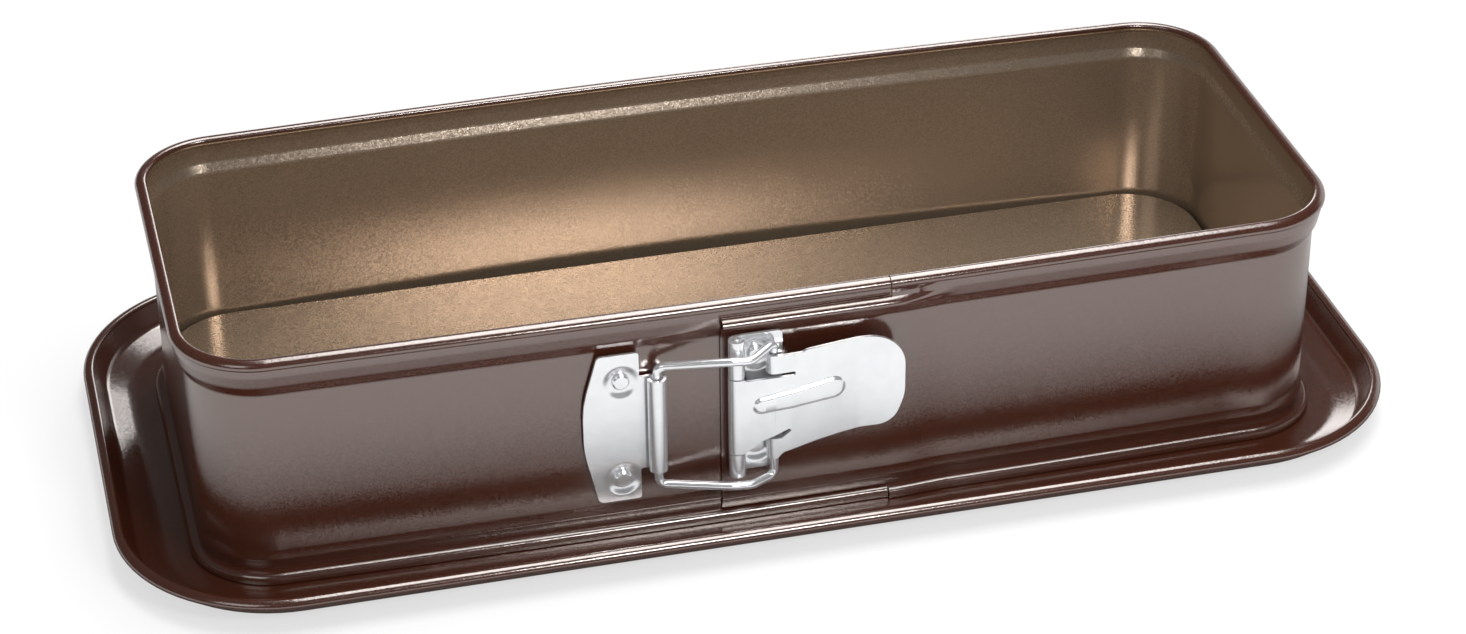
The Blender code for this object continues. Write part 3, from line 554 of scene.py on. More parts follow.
class Strip:
    """The wall strip: its section, its plan line and the flap at its outer end."""

    def __init__(self):
        sizes = self.sizes = settings("wall")
        self.base = settings("tray").sheet + CLEARANCE
        self.rim_z = self.base + sizes.rim_height
        self.straight_x = 0.5 * sizes.length - sizes.corner
        self.joggle = sizes.sheet + CLEARANCE
        foot, wall, neck = self.middle_line()
        inner, outer = both_faces(foot + wall + neck, 0.5 * sizes.sheet)
        centre = (sizes.bead_radius - sizes.sheet, self.rim_z)
        bead = pressed(roll(centre, sizes.bead_radius, -60.0, ROLL_TURN), centre)
        self.points = outer + bead + inner[::-1]
        self.foot = len(foot)
        self.wall = len(wall)
        self.steady = range(len(outer), len(outer + bead) + 1)
        outside = len(outer) + int(len(bead) * OUTSIDE_SHARE)
        self.materials = [0] * outside + [1] * (len(self.points) - outside - 1) + [0]

    def middle_line(self):
        """The sheet's middle as (reach, height) points: foot, wall and neck."""
        middle = -0.5 * self.sizes.sheet
        ledge = self.base + FOOT_HEIGHT
        foot = rounded([
            (FOOT_REACH + middle, self.base, 0),
            (FOOT_REACH + middle, ledge, FOOT_ROUND),
            (0.5 * GROOVE_OUT + middle, ledge - middle, 0)])
        wall = rounded([
            (0.4 * GROOVE_OUT + middle, self.base + FLAP_FOOT_GAP, 0),
            (0.3 * GROOVE_OUT + middle, self.base + 0.65 * GROOVE_HEIGHT, 0),
            (GROOVE_OUT + middle, self.base + GROOVE_HEIGHT, GROOVE_ROUND),
            (middle, self.base + GROOVE_TOP, GROOVE_TOP_ROUND),
            (middle, self.rim_z - WALL_TOP_DROP, SHOULDER_ROUND),
            (SHOULDER_OUT + middle, self.rim_z - SHOULDER_DROP, SHOULDER_ROUND),
            (BAND_OUT + middle, self.rim_z - BAND_TOP_DROP, 0)])
        shoulder, top = wall[-2:]
        wall[-1:] = [shoulder.lerp(top, (step + 1) / BAND_STEPS)
                     for step in range(BAND_STEPS)]
        return foot, wall, [Vector((NECK_OUT + middle, self.rim_z - NECK_DROP))]

    def side(self, x, front):
        """A place on a long side's outer face and its outward direction."""
        bow = self.sizes.front_bow if front else self.sizes.back_bow
        turn = 0.5 * math.pi / self.straight_x
        facing = -1.0 if front else 1.0
        place = Vector((x, facing * (0.5 * self.sizes.width + bow * math.cos(turn * x))))
        return place, Vector((bow * turn * math.sin(turn * x), facing)).normalized()

    def sides(self, x_from, x_to, front, steps):
        return [self.side(x_from + (x_to - x_from) * i / steps, front)
                for i in range(steps + 1)]

    def corner(self, side_x, side_y, start, steps=24):
        centre = Vector((side_x * self.straight_x,
                         side_y * (0.5 * self.sizes.width - self.sizes.corner)))
        stations = []
        for step in range(steps + 1):
            angle = math.radians(start + 90.0 * step / steps)
            out = Vector((math.cos(angle), math.sin(angle)))
            stations.append((centre + out * self.sizes.corner, out))
        return stations

    def loop(self, bm, station, shift=0.0):
        place, out = station
        verts = []
        for i, point in enumerate(self.points):
            reach = point.x
            if i not in self.steady:
                reach += shift * (1.0 + self.curl(point.y))
            verts.append(bm.verts.new((*(place + out * reach), point.y)))
        return verts

    def curl(self, z):
        """How far the flap's band bulges beyond the joggle, as a share of the joggle."""
        drop = self.rim_z - z
        if drop >= CURL_DROP:
            return CURL * (1.0 - eased((drop - CURL_DROP) / (SHOULDER_DROP - CURL_DROP)))
        share = (CURL_DROP - drop) / (CURL_DROP - BAND_TOP_DROP)
        return CURL * max(1.0 - share * share, 0.0)

    def wall_part(self, loop):
        """A loop's vertices between foot and rim, on both faces of the sheet."""
        start = len(loop) - self.foot - self.wall
        return loop[self.foot:self.foot + self.wall] + loop[start:start + self.wall]

    def rim_part(self, loop):
        return loop[self.foot + self.wall - 1:len(loop) - self.foot - self.wall + 1]

    def foot_part(self, loop):
        return loop[:self.foot + 1] + loop[len(loop) - self.foot - 1:]

    def shift_at(self, x):
        """How far the joggle moves the strip outward at a place along the front."""
        along = min(max((x - self.sizes.lap) / self.sizes.joggle_length, 0.0), 1.0)
        return self.joggle * 0.5 * (1.0 + math.cos(math.pi * along))

    def front_y(self, x, shift=0.0):
        return self.side(x, True)[0].y - shift


def sweep(bm, strip, stations, shifts=None):
    """Loops of the strip's section along stations, joined by faces."""
    shifts = shifts or [0.0] * len(stations)
    loops = [strip.loop(bm, station, shift) for station, shift in zip(stations, shifts)]
    for first, second in zip(loops, loops[1:]):
        join_loops(bm, first, second, strip.materials)
    return loops


def add_wall_back():
    """The strip's inner length, from the spring corner round the left to the lap."""
    strip = Strip()
    bm = bmesh.new()
    stations = strip.sides(strip.straight_x - SPRING_LENGTH, -strip.straight_x,
                           front=False, steps=40)
    stations += strip.corner(-1, 1, 90.0)[1:] + strip.corner(-1, -1, 180.0)
    stations += strip.sides(-strip.straight_x, strip.sizes.lap - 0.5 * SLIT,
                            front=True, steps=30)[1:]
    loops = sweep(bm, strip, stations)
    bm.faces.new(loops[-1])
    piece = coated_mesh("wall_back", bm)
    settle(piece, "pan_left", "ring_left")


def add_wall_spring():
    """The short stretch by the back corner, where the strip bends when the latch is opened;
    it stays fixed in the scene.
    """
    strip = Strip()
    bm = bmesh.new()
    start = strip.straight_x - SPRING_LENGTH
    stations = strip.sides(start, strip.straight_x, front=False, steps=24)[::-1]
    stations.insert(0, (Vector((strip.straight_x + 0.5 * SLIT, stations[0][0].y)),
                        Vector((0.0, 1.0))))
    sweep(bm, strip, stations)
    piece = coated_mesh("wall_spring", bm)
    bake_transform(piece)


def add_wall_front():
    """The strip's outer length, with the flap that laps over the inner one."""
    strip = Strip()
    bm = bmesh.new()
    first_x = strip.sizes.lap + 0.5 * SLIT
    joggle_end = first_x + strip.sizes.joggle_length
    stations = strip.sides(first_x, joggle_end, front=True, steps=12)[:-1]
    stations += strip.sides(joggle_end, strip.straight_x, front=True, steps=24)[:-1]
    stations += strip.corner(1, -1, 270.0) + strip.corner(1, 1, 0.0)[:-1]
    stations.append((Vector((strip.straight_x + 0.5 * SLIT, 0.5 * strip.sizes.width)),
                     Vector((0.0, 1.0))))
    shifts = [strip.shift_at(place.x) if place.y < 0 else 0.0 for place, _ in stations]
    loops = sweep(bm, strip, stations, shifts)
    bm.faces.new(strip.rim_part(loops[0]))
    bm.faces.new(strip.foot_part(loops[0]))
    flap = [strip.wall_part(loops[0])]
    for station in strip.sides(first_x, strip.sizes.flap_tip, front=True, steps=16)[1:]:
        whole = strip.loop(bm, station, strip.joggle)
        kept = strip.wall_part(whole)
        for vert in set(whole) - set(kept):
            bm.verts.remove(vert)
        flap.append(kept)
    materials = [0] * strip.wall + [1] * (strip.wall - 1) + [0]
    for first, second in zip(flap, flap[1:]):
        join_loops(bm, first, second, materials)
    bm.faces.new(flap[-1])
    piece = coated_mesh("wall_front", bm)
    settle(piece, "pan_right", "ring_right")


# The drip tray

def add_drip_tray():
    """The tray: floor inside the wall, moat round its foot and a rolled rim."""
    wall = settings("wall")
    tray = settings("tray")
    inset = wall.sheet + FLOOR_CLEARANCE
    floor_size = (0.5 * wall.length - inset, 0.5 * wall.width - inset, FLOOR_CORNER_RADIUS)
    rim_size = (0.5 * wall.length + tray.length_reach, 0.5 * wall.width + tray.width_reach,
                tray.corner)
    half = 0.5 * tray.sheet
    step_line = rounded([
        (-2 * FLOOR_EDGE_RADIUS, FLOOR_HEIGHT - half, 0),
        (-half, FLOOR_HEIGHT - half, FLOOR_EDGE_RADIUS - half),
        (-half, half, FLOOR_FOOT_RADIUS + half),
        (2 * FLOOR_FOOT_RADIUS, half, 0)])
    flange_line = rounded([
        (-MOAT_INSET - MOAT_LEAD, half, 0),
        (-MOAT_INSET, half, MOAT_ROUND),
        (-CREASE_INSET, CREASE_HEIGHT - half, CREASE_ROUND),
        (-tray.bead_radius + half, tray.bead_height, 0)])
    sizes = [floor_size] * len(step_line) + [rim_size] * len(flange_line)
    step_top, step_under = both_faces(step_line, half)
    flange_top, flange_under = both_faces(flange_line, half)
    top = list(zip(sizes, step_top + flange_top))
    under = list(zip(sizes, step_under + flange_under))
    centre = (0.0, tray.bead_height)
    bead = [(rim_size, point)
            for point in pressed(roll(centre, tray.bead_radius, 180.0, -ROLL_TURN), centre)]
    bm = bmesh.new()
    loops = []
    for size, point in top[:-1] + bead + under[-2::-1]:
        length, width, radius = (value + point.x for value in size)
        loops.append(rounded_rectangle(bm, length, width, radius, point.y))
    for i, (first, second) in enumerate(zip(loops, loops[1:])):
        coat = 1 if i < len(step_line) - 1 else 0
        join_loops(bm, first, second, [coat] * len(first))
    bm.faces.new(loops[0]).material_index = 1
    bm.faces.new(loops[-1])
    piece = coated_mesh("drip_tray", bm)
    weighted = piece.modifiers.new("flat faces", "WEIGHTED_NORMAL")
    weighted.keep_sharp = True
    settle(piece, "tray", "base_tray")


def rounded_rectangle(bm, length, width, radius, z, steps=20):
    """A loop of vertices, from half its length and width."""
    verts = []
    for side_x, side_y, start in ((1, 1, 0), (-1, 1, 90), (-1, -1, 180), (1, -1, 270)):
        centre = (side_x * (length - radius), side_y * (width - radius))
        for step in range(steps + 1):
            point = polar(centre, radius, math.radians(start + 90.0 * step / steps))
            verts.append(bm.verts.new((*point, z)))
    return verts


# Formed sheet

class Route:
    """A sheet's middle line in plan; along a roll the marks advance by a small step."""

    def __init__(self, flat, rolled):
        heading = 1.0 if rolled[0].x > flat[0].x else -1.0
        self.line = flat + rolled
        self.marks = [point.x for point in flat] + [rolled[0].x]
        for _ in rolled[1:]:
            self.marks.append(self.marks[-1] + heading * ROLL_STEP)
        self.offsets = [offset * heading for offset in mitres(self.line)]
        self.end = self.marks[-1]

    def place(self, mark, out):
        """The plan point at a mark, moved along the sheet's normal, away from -Y."""
        for i in range(len(self.marks) - 1):
            low, high = sorted((self.marks[i], self.marks[i + 1]))
            if low - 1e-9 <= mark <= high + 1e-9:
                break
        share = (mark - self.marks[i]) / (self.marks[i + 1] - self.marks[i])
        centre = self.line[i].lerp(self.line[i + 1], share)
        return centre + self.offsets[i].lerp(self.offsets[i + 1], share) * out


def formed_sheet(name, outline, route_at, routes, sheet, loops, holes, press, edge):
    """A plate of an (x, z) outline, pressed by press(point) and rolled along its routes."""
    loops = loops + [circle(centre, radius) for centre, radius in holes]
    points = list(outline)
    edges = []
    for loop in loops:
        start = len(points)
        points += loop
        edges += [(start + i, start + (i + 1) % len(loop)) for i in range(len(loop))]
    low = min(point.y for point in outline) - sheet
    high = max(point.y for point in outline) + sheet
    for route in routes:
        for mark in route.marks[1:-1]:
            edges.append((len(points), len(points) + 1))
            points += [Vector((mark, low)), Vector((mark, high))]
    inside_only, tolerance = 1, 1e-8
    verts, _, faces, _, _, origins = delaunay_2d_cdt(
        points, edges, [list(range(len(outline)))], inside_only, tolerance)
    bm = bmesh.new()
    sides = []
    for out in (-0.5 * sheet, 0.5 * sheet):
        row = []
        for point in verts:
            plan = route_at(point).place(point.x, out + press(point))
            row.append(bm.verts.new((plan.x, plan.y, point.y)))
        sides.append(row)
    for face, source in zip(faces, origins):
        middle = sum((verts[i] for i in face), Vector((0.0, 0.0))) / len(face)
        if not source or any((middle - centre).length < radius for centre, radius in holes):
            continue
        bm.faces.new([sides[0][i] for i in face])
        bm.faces.new([sides[1][i] for i in reversed(face)])
    twin = dict(zip(*sides))
    for rim in [item for item in bm.edges if len(item.link_faces) == 1]:
        first, second = rim.verts
        if first in twin and second in twin:
            bm.faces.new((first, second, twin[second], twin[first]))
    for vert in [vert for vert in bm.verts if not vert.link_faces]:
        bm.verts.remove(vert)
    piece = finish_mesh(name, bm, [finish_named("plated_steel")])
    soften_edges(piece, edge)
    return piece


def dished(rivets):
    """How deep a plate is pressed in at a point: a dish round each rivet."""
    def press(point):
        away = min((point - centre).length for centre in rivets)
        return DISH_DEPTH * eased((DISH_RADIUS - away) / (DISH_RADIUS - SEAT_RADIUS))
    return press


def dish_loops(rivets):
    loops = []
    for centre in rivets:
        for step in range(DISH_RINGS + 1):
            radius = SEAT_RADIUS + (DISH_RADIUS - SEAT_RADIUS) * step / DISH_RINGS
            loops.append(circle(centre, radius, DISH_SEGMENTS))
    return loops


def plate_faces(strip, plate):
    """Where the two plates' outer faces lie, in Y."""
    proud = SEAT_GAP + DISH_DEPTH + plate
    return (strip.front_y(LEFT_EDGE_X) - proud,
            strip.front_y(RIGHT_EDGE_X, strip.joggle) - proud)


def riveted_plate(name, outline, route, rivets):
    latch = settings("latch")
    holes = [(centre, SHANK_RADIUS) for centre in rivets]
    return formed_sheet(name, outline, lambda point: route, [route], latch.plate,
                        dish_loops(rivets), holes, dished(rivets), latch.edge)


def add_left_plate():
    """The fixed plate, whose tongue is rolled round the wire."""
    sheet = settings("latch").plate
    middle_y = plate_faces(Strip(), sheet)[0] + 0.5 * sheet
    flat = [Vector((LEFT_PLATE_BULGE_X - ROUTE_LEAD, middle_y)),
            Vector((LEFT_EDGE_X, middle_y))]
    route = Route(flat, roll(BARREL, BARREL_RADIUS - 0.5 * sheet, 90.0, BARREL_TURN))
    waist = LEFT_EDGE_X + 0.0001
    outline = rounded([
        (waist, LEFT_PLATE_BOTTOM, 0.0008),
        (waist, BARREL_BOTTOM, 0.0003),
        (route.end, BARREL_BOTTOM, 0),
        (route.end, BARREL_TOP, 0),
        (waist, BARREL_TOP, 0.0003),
        (waist, LEFT_PLATE_TOP, 0.0008),
        (LEFT_PLATE_BULGE_X + 0.0040, LEFT_PLATE_TOP, 0.0012),
        (LEFT_PLATE_BULGE_X, LEFT_PLATE_TOP - 0.0140, 0.0280),
        (LEFT_PLATE_BULGE_X, LEFT_PLATE_BOTTOM + 0.0161, 0.0280),
        (LEFT_PLATE_BULGE_X + 0.0036, LEFT_PLATE_BOTTOM, 0.0016)], closed=True)
    piece = riveted_plate("left_plate", outline, route, LEFT_RIVETS)
    settle(piece, "pan_left", "left_bracket")


def add_right_plate():
    """The plate on the flap, with two knuckles that hold the lever's pin."""
    latch = settings("latch")
    bore = latch.pin_radius + CLEARANCE
    middle_y = plate_faces(Strip(), latch.plate)[1] + 0.5 * latch.plate
    flat = [Vector((RIGHT_EDGE_X + ROUTE_LEAD, middle_y)),
            Vector((PIN.x + 0.0020, middle_y))]
    route = Route(flat, roll(PIN, bore + 0.5 * latch.plate, 90.0, KNUCKLE_TURN))
    waist = PIN.x + bore + latch.lever + 2 * CLEARANCE
    outline = rounded([
        (RIGHT_EDGE_X, RIGHT_PLATE_TOP - 0.0008, 0.0012),
        (RIGHT_EDGE_X - 0.0007, RIGHT_PLATE_TOP, 0.0006),
        (route.end, RIGHT_PLATE_TOP, 0),
        (route.end, KNUCKLE_HIGH_BOTTOM, 0),
        (waist, KNUCKLE_HIGH_BOTTOM, 0.0004),
        (waist, KNUCKLE_LOW_TOP, 0.0004),
        (route.end, KNUCKLE_LOW_TOP, 0),
        (route.end, RIGHT_PLATE_BOTTOM, 0),
        (RIGHT_EDGE_X - 0.0030, RIGHT_PLATE_BOTTOM, 0.0030),
        (RIGHT_EDGE_X, RIGHT_PLATE_BOTTOM + 0.0060, 0.0030)], closed=True)
    piece = riveted_plate("right_plate", outline, route, RIGHT_RIVETS)
    settle(piece, "pan_right", "right_bracket")


# Rivets, pin, lever and wire

def turned(name, profile, centre, axis):
    """A body turned from (radius, distance along the axis) points."""
    bm = bmesh.new()
    turn = Vector((0.0, 0.0, 1.0)).rotation_difference(Vector(axis)).to_matrix()
    loops = []
    for radius, along in profile:
        ring = []
        for point in circle((0.0, 0.0), radius):
            ring.append(bm.verts.new(Vector(centre) + turn @ Vector((*point, along))))
        loops.append(ring)
    for first, second in zip(loops, loops[1:]):
        join_loops(bm, first, second)
    bm.faces.new(loops[0])
    bm.faces.new(loops[-1])
    return finish_mesh(name, bm, [finish_named("plated_steel")], sharp=50.0)


def rivet_profile(depth, head_radius, tail):
    shape = rounded([
        (0.1 * head_radius, HEAD_HEIGHT, 0),
        (0.76 * head_radius, HEAD_HEIGHT, 0.00025),
        (0.97 * head_radius, 0.60 * HEAD_HEIGHT, 0.00025),
        (head_radius, 0.0, 0)])
    profile = [tuple(point) for point in shape] + [(SHANK_RADIUS, 0.0)]
    if not tail:
        return profile + [(SHANK_RADIUS, -depth)]
    start = depth + 0.5 * SEAT_GAP
    return profile + [(SHANK_RADIUS, -start), (TAIL_RADIUS, -start),
                      (TAIL_RADIUS, -start - 0.6 * TAIL_HEIGHT),
                      (0.6 * TAIL_RADIUS, -start - TAIL_HEIGHT)]


def add_rivets():
    """The four flat-topped rivets on their sunk seats."""
    latch = settings("latch")
    strip = Strip()
    left_y, right_y = plate_faces(strip, latch.plate)
    for label, centres, plate_y, shift, body in (
            ("left", LEFT_RIVETS, left_y, 0.0, "pan_left"),
            ("right", RIGHT_RIVETS, right_y, strip.joggle, "pan_right")):
        for centre, level in zip(centres, ("upper", "lower")):
            seat_y = plate_y + DISH_DEPTH - 0.5 * SEAT_GAP
            depth = strip.front_y(centre.x, shift) + strip.sizes.sheet - seat_y
            profile = rivet_profile(depth, latch.head_radius, label == "left")
            piece = turned(f"{label}_{level}_rivet", profile, (centre.x, seat_y, centre.y),
                           (0.0, -1.0, 0.0))
            settle(piece, body, f"rivet_{label}_{level}")


def add_pin():
    """The pin through the knuckles."""
    radius = settings("latch").pin_radius
    edge = 0.3 * radius
    low = RIGHT_PLATE_BOTTOM - PIN_OVERHANG
    high = RIGHT_PLATE_TOP + PIN_OVERHANG
    profile = [
        (radius - edge, low), (radius - 0.3 * edge, low + 0.3 * edge),
        (radius, low + edge), (radius, high - edge),
        (radius - 0.3 * edge, high - 0.3 * edge), (radius - edge, high)]
    piece = turned("lever_pin", profile, (*PIN, 0.0), (0.0, 0.0, 1.0))
    settle(piece, "pan_right", "hinge_pin")


def rib_depth(point):
    """How far inside the rib's tapered outline a point lies."""
    along = RIB_END - RIB_START
    share = min(max((point - RIB_START).dot(along) / along.dot(along), 0.0), 1.0)
    radius = RIB_RADII[0] + (RIB_RADII[1] - RIB_RADII[0]) * share
    return radius - (point - RIB_START - along * share).length


def rib_loop(inset):
    """The rib's outline, drawn in by an inset."""
    along = RIB_END - RIB_START
    small, large = RIB_RADII
    tilt = math.degrees(math.atan2(along.y, along.x))
    lean = math.degrees(math.asin((large - small) / along.length))
    loop = roll(RIB_START, small - inset, tilt + 90.0 + lean, 180.0 - 2 * lean)
    return loop + roll(RIB_END, large - inset, tilt - 90.0 - lean, 180.0 + 2 * lean)


def add_lever():
    """The lever: knuckle, body with its rib, two ears for the wire and a finger tip."""
    latch = settings("latch")
    bore = latch.pin_radius + CLEARANCE
    body_y = PIN.y - bore - 0.5 * latch.lever
    bend = rounded([
        (LEVER_TIP_X + ROUTE_LEAD, LEVER_TIP_Y, 0),
        (LEVER_BEND_X, LEVER_DIP_Y, 0.0080),
        (EAR.x + 0.0040, body_y, 0)])
    body = Route(bend, roll(PIN, bore + 0.5 * latch.lever, -90.0, LEVER_KNUCKLE_TURN))
    ears = Route(bend, roll(EAR, EAR_RADIUS - 0.5 * latch.lever, -90.0, EAR_TURN))

    def route_at(point):
        beside = not EAR_LOW_TOP + EAR_MARGIN <= point.y <= LEVER_BODY_TOP + EAR_MARGIN
        return ears if beside and point.x > ears.end - EAR_MARGIN else body

    def press(point):
        return -latch.rib_height * eased(rib_depth(point) / RIB_SLOPE)

    slot_end = 0.0014
    tip_height = LEVER_TIP_TOP - LEVER_TIP_BOTTOM
    outline = rounded([
        (body.end, KNUCKLE_LOW_TOP + CLEARANCE, 0),
        (PIN.x + 0.0014, KNUCKLE_LOW_TOP + CLEARANCE, 0.0005),
        (-0.0073, 0.0265, 0.0020),
        (-0.0040, 0.0276, 0.0030),
        (-0.0002, 0.0292, 0.0002),
        (0.0004, 0.0285, 0.0002),
        (-0.0022, EAR_LOW_TOP, 0.0005),
        (ears.end, EAR_LOW_TOP, 0),
        (ears.end, EAR_LOW_BOTTOM, 0),
        (EAR.x + 0.0004, EAR_LOW_BOTTOM, 0.0004),
        (EAR.x + 0.0020, LEVER_BOTTOM, 0.0015),
        (0.0076, LEVER_BOTTOM + 0.0019, 0.0040),
        (0.0137, LEVER_TIP_BOTTOM - 0.0008, 0.0060),
        (LEVER_TIP_X - 0.0030, LEVER_TIP_BOTTOM + 0.0004, 0.0065),
        (LEVER_TIP_X, LEVER_TIP_BOTTOM + 0.33 * tip_height, 0.0130),
        (LEVER_TIP_X, LEVER_TIP_TOP, 0.0085),
        (0.0137, LEVER_TOP + 0.0004, 0.0060),
        (0.0042, LEVER_TOP, 0.0010),
        (0.0036, LEVER_TOP - 0.0005, 0.0003),
        (EAR.x + 0.0012, EAR_HIGH_TOP - 0.0003, 0.0006),
        (ears.end, EAR_HIGH_TOP - 0.0003, 0),
        (ears.end, EAR_HIGH_BOTTOM, 0),
        (slot_end, EAR_HIGH_BOTTOM, 0.0004),
        (slot_end, LEVER_BODY_TOP, 0.0004),
        (PIN.x + 0.0020, LEVER_BODY_TOP, 0.0005),
        (PIN.x + 0.0014, KNUCKLE_HIGH_BOTTOM - CLEARANCE, 0.0003),
        (body.end, KNUCKLE_HIGH_BOTTOM - CLEARANCE, 0)], closed=True)
    loops = [rib_loop(RIB_SLOPE * step / RIB_RINGS) for step in range(RIB_RINGS + 1)]
    piece = formed_sheet("latch_lever", outline, route_at, [body, ears], latch.lever, loops,
                         [], press, latch.edge)
    settle(piece, "lever", "lever")


def add_wire():
    """The wire: through the barrel, out over the knuckles and hooked to the ears."""
    line = rounded([
        (*EAR, EAR_HIGH_TOP + CLEARANCE, 0),
        (*EAR, HOOK_HIGH, 0.0012),
        (PIN.x + 0.0030, ARM_FRONT_Y, ARM_HIGH + 0.7 * ARM_RISE, 0.0040),
        (PIN.x - 0.0020, ARM_FRONT_Y, ARM_HIGH + ARM_RISE, 0.0060),
        (*BARREL, ARM_HIGH, WIRE_BEND),
        (*BARREL, ARM_LOW + 0.0006, WIRE_BEND),
        (PIN.x - 0.0020, ARM_FRONT_Y, ARM_LOW, 0.0060),
        (PIN.x + 0.0030, ARM_FRONT_Y, HOOK_LOW, 0.0040),
        (*EAR, HOOK_LOW, WIRE_BEND),
        (*EAR, EAR_LOW_BOTTOM - CLEARANCE, 0)])
    curve = bpy.data.curves.new("wire_loop", "CURVE")
    curve.dimensions = "3D"
    spline = curve.splines.new("POLY")
    spline.points.add(len(line) - 1)
    for point, place in zip(spline.points, line):
        point.co = (*place, 1.0)
    curve.bevel_depth = settings("latch").wire_radius
    curve.bevel_resolution = 8
    curve.use_fill_caps = True
    curve.materials.append(finish_named("plated_steel"))
    piece = new_object("wire_loop", curve)
    settle(piece, "bail", "wire_bail")


# The stage

def painted_rim_shade(tree, reach):
    """Painted shade round the tray in the floor's reflections: the brightness there, from
    the rim shade level at the tray's rim to 1.
    """
    wall = settings("wall")
    tray = settings("tray")
    core = (0.5 * wall.length + tray.length_reach - tray.corner,
            0.5 * wall.width + tray.width_reach - tray.corner, 0.0)
    place = add_node(tree, "ShaderNodeTexCoord").outputs["Object"]
    aside = calculate_vector(tree, "ABSOLUTE", place)
    beyond = calculate_vector(tree, "SUBTRACT", aside, core)
    outside = calculate_vector(tree, "MAXIMUM", beyond)
    away = calculate_vector(tree, "LENGTH", outside, output="Value")
    return scaled(tree, away, PAINTED_RIM_SHADE, 1.0, tray.corner,
                  tray.corner + reach, "SMOOTHSTEP")


def stage_floor(stage):
    """A pale floor that keeps the shadow and is white to the camera; in the metal it is
    white too, apart from a shade painted round the tray.
    """
    bm = bmesh.new()
    bmesh.ops.create_grid(bm, x_segments=4, y_segments=4, size=3.0)
    material, tree, shader = new_material("pale_floor")
    tree.nodes.remove(shader)
    matte = add_node(tree, "ShaderNodeBsdfDiffuse", {"Color": (*stage.floor, 1.0)})
    glow = add_node(tree, "ShaderNodeEmission", {"Color": (1.0, 1.0, 1.0, 1.0)})
    # Painted shade: in reflections the floor glows dimmer near the tray's rim
    mirrored = add_node(tree, "ShaderNodeEmission",
                        {"Color": painted_rim_shade(tree, stage.painted_shade_reach)})
    path = add_node(tree, "ShaderNodeLightPath").outputs
    seen = calculate(tree, "MULTIPLY", path["Is Camera Ray"], FLOOR_GLOW)
    inputs = {"Fac": seen, 1: matte.outputs[0], 2: glow.outputs[0]}
    lit = add_node(tree, "ShaderNodeMixShader", inputs)
    inputs = {"Fac": path["Is Glossy Ray"], 1: lit.outputs[0], 2: mirrored.outputs[0]}
    whole = add_node(tree, "ShaderNodeMixShader", inputs)
    fill(tree, tree.nodes["Material Output"], {"Surface": whole.outputs[0]})
    floor = finish_mesh("floor", bm, [material])


def area_light(name, place, aim, size, energy):
    light = bpy.data.lights.new(name, "AREA")
    light.shape = "RECTANGLE"
    light.size, light.size_y = size
    light.energy = energy
    lamp = new_object(name, light)
    lamp.visible_camera = False
    lamp.location = place
    lamp.rotation_euler = (Vector(aim) - Vector(place)).to_track_quat("-Z", "Y").to_euler()


def place_camera():
    data = bpy.data.cameras.new("camera")
    data.lens = CAMERA_LENS
    data.sensor_width = 36.0
    data.clip_start = 0.01
    data.clip_end = 20.0
    camera = new_object("camera", data)
    right, up = Vector(CAMERA_RIGHT), Vector(CAMERA_UP)
    turn = Matrix((right, up, right.cross(up))).transposed()
    camera.matrix_world = Matrix.Translation(CAMERA_PLACE) @ turn.to_4x4()
    bpy.context.scene.camera = camera


def room(stage):
    """Even light; in reflections a dark room with a pale backdrop."""
    world = bpy.data.worlds.new("room")
    world.use_nodes = True
    tree = world.node_tree
    path = add_node(tree, "ShaderNodeLightPath").outputs
    place = add_node(tree, "ShaderNodeTexCoord").outputs["Generated"]
    height = add_node(tree, "ShaderNodeSeparateXYZ", {"Vector": place}).outputs["Z"]
    low = scaled(tree, height, 1.0, 0.0, *map(math.sin, BACKDROP_TOP), "SMOOTHSTEP")
    aside = calculate_vector(tree, "DOT_PRODUCT", place, BACKDROP_PLACE, output="Value")
    behind = scaled(tree, aside, 0.0, 1.0, *map(math.cos, BACKDROP_SPREAD[::-1]),
                    "SMOOTHSTEP")
    backdrop = calculate(tree, "MULTIPLY", low, behind)
    mirrored = scaled(tree, backdrop, stage.dark_room, 1.0)
    inputs = {"Factor": path["Is Glossy Ray"], "A": stage.sky, "B": mirrored}
    light = add_node(tree, "ShaderNodeMix", inputs, data_type="FLOAT").outputs["Result"]
    level = calculate(tree, "MAXIMUM", light, path["Is Camera Ray"])
    fill(tree, tree.nodes["Background"], {"Color": level})
    return world


def add_stage():
    stage = settings("stage")
    stage_floor(stage)
    for name, (place, aim, size, setting) in LIGHTS.items():
        area_light(name, place, aim, size, getattr(stage, setting))
    bpy.context.scene.world = room(stage)
    place_camera()
    bpy.context.scene.view_settings.view_transform = "Standard"


class SPRINGFORM_OT_drip_tray(Operator):
    """Add the drip tray with its raised floor and rolled rim"""
    bl_idname = "springform.drip_tray"
    bl_label = "Drip Tray"

    def execute(self, context):
        add_drip_tray()
        return {"FINISHED"}


class SPRINGFORM_OT_wall(Operator):
    """Add the wall strip: its two lengths and the short stretch between them"""
    bl_idname = "springform.wall"
    bl_label = "Wall"

    def execute(self, context):
        add_wall_back()
        add_wall_spring()
        add_wall_front()
        return {"FINISHED"}


class SPRINGFORM_OT_plates(Operator):
    """Add the two riveted plates of the latch"""
    bl_idname = "springform.plates"
    bl_label = "Latch Plates"

    def execute(self, context):
        add_left_plate()
        add_right_plate()
        return {"FINISHED"}


class SPRINGFORM_OT_rivets(Operator):
    """Add the rivets that hold the plates"""
    bl_idname = "springform.rivets"
    bl_label = "Rivets"

    def execute(self, context):
        add_rivets()
        return {"FINISHED"}


class SPRINGFORM_OT_pin(Operator):
    """Add the pin that the lever turns on"""
    bl_idname = "springform.pin"
    bl_label = "Lever Pin"

    def execute(self, context):
        add_pin()
        return {"FINISHED"}


class SPRINGFORM_OT_lever(Operator):
    """Add the lever"""
    bl_idname = "springform.lever"
    bl_label = "Lever"

    def execute(self, context):
        add_lever()
        return {"FINISHED"}


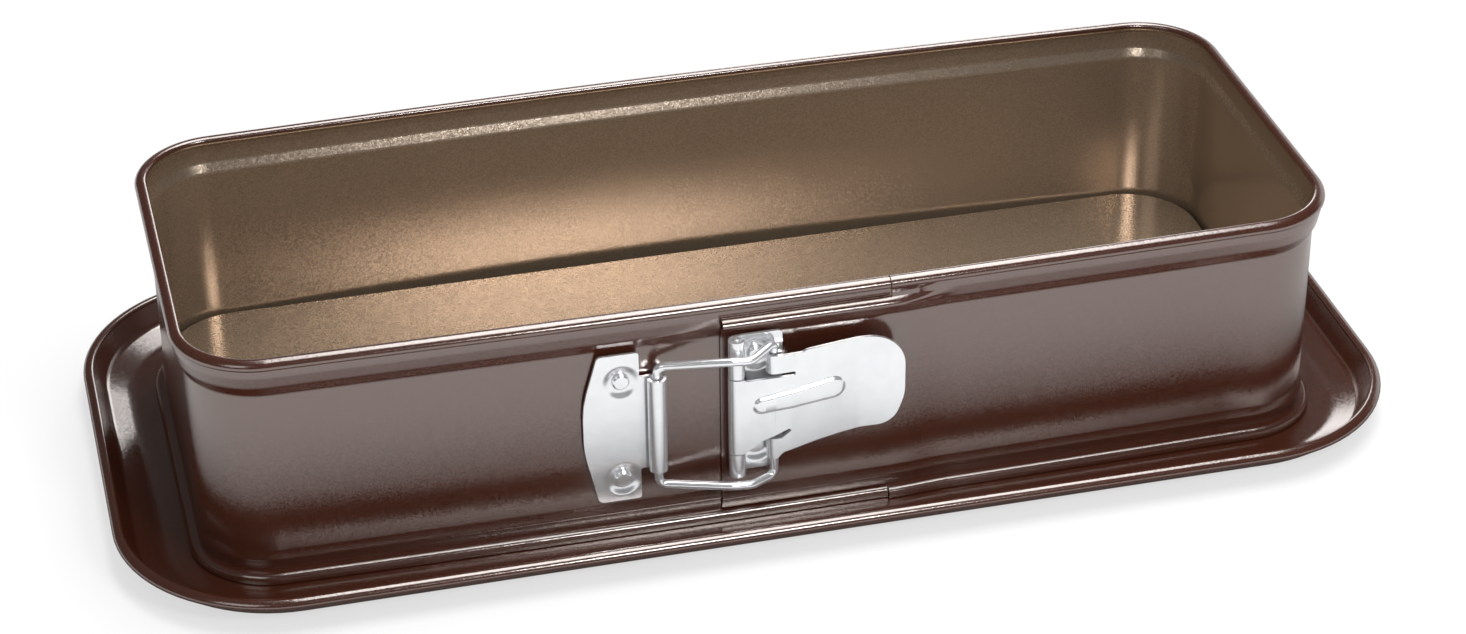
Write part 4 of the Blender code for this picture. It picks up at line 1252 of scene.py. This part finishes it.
class SPRINGFORM_OT_wire(Operator):
    """Add the wire that joins the barrel to the lever's ears"""
    bl_idname = "springform.wire"
    bl_label = "Wire"

    def execute(self, context):
        add_wire()
        return {"FINISHED"}


class SPRINGFORM_OT_stage(Operator):
    """Add the floor, the lights and the camera"""
    bl_idname = "springform.stage"
    bl_label = "Stage"

    def execute(self, context):
        add_stage()
        return {"FINISHED"}


OPERATORS = (SPRINGFORM_OT_drip_tray, SPRINGFORM_OT_wall, SPRINGFORM_OT_plates,
             SPRINGFORM_OT_rivets, SPRINGFORM_OT_pin, SPRINGFORM_OT_lever,
             SPRINGFORM_OT_wire, SPRINGFORM_OT_stage)
SETTINGS = {"springform_wall": WallSizes, "springform_tray": TraySizes,
            "springform_latch": LatchSizes, "springform_finishes": Finishes,
            "springform_stage": StageSettings}


class SPRINGFORM_PT_panel(Panel):
    """The pan's settings and the buttons that build it"""
    bl_label = "Springform Pan"
    bl_idname = "SPRINGFORM_PT_panel"
    bl_space_type = "VIEW_3D"
    bl_region_type = "UI"
    bl_category = "Springform"

    def draw(self, context):
        for name, group in SETTINGS.items():
            box = self.layout.box()
            for prop in group.__annotations__:
                box.prop(getattr(context.scene, name), prop)
        for operator in OPERATORS:
            self.layout.operator(operator.bl_idname)


def register():
    for name, group in SETTINGS.items():
        bpy.utils.register_class(group)
        setattr(bpy.types.Scene, name, PointerProperty(type=group))
    for cls in OPERATORS + (SPRINGFORM_PT_panel,):
        bpy.utils.register_class(cls)


def unregister():
    for cls in reversed(OPERATORS + (SPRINGFORM_PT_panel,)):
        bpy.utils.unregister_class(cls)
    for name, group in SETTINGS.items():
        delattr(bpy.types.Scene, name)
        bpy.utils.unregister_class(group)


def main():
    register()
    bpy.ops.springform.drip_tray()
    bpy.ops.springform.wall()
    bpy.ops.springform.plates()
    bpy.ops.springform.rivets()
    bpy.ops.springform.pin()
    bpy.ops.springform.lever()
    bpy.ops.springform.wire()
    bpy.ops.springform.stage()


if __name__ == "__main__":
    main()
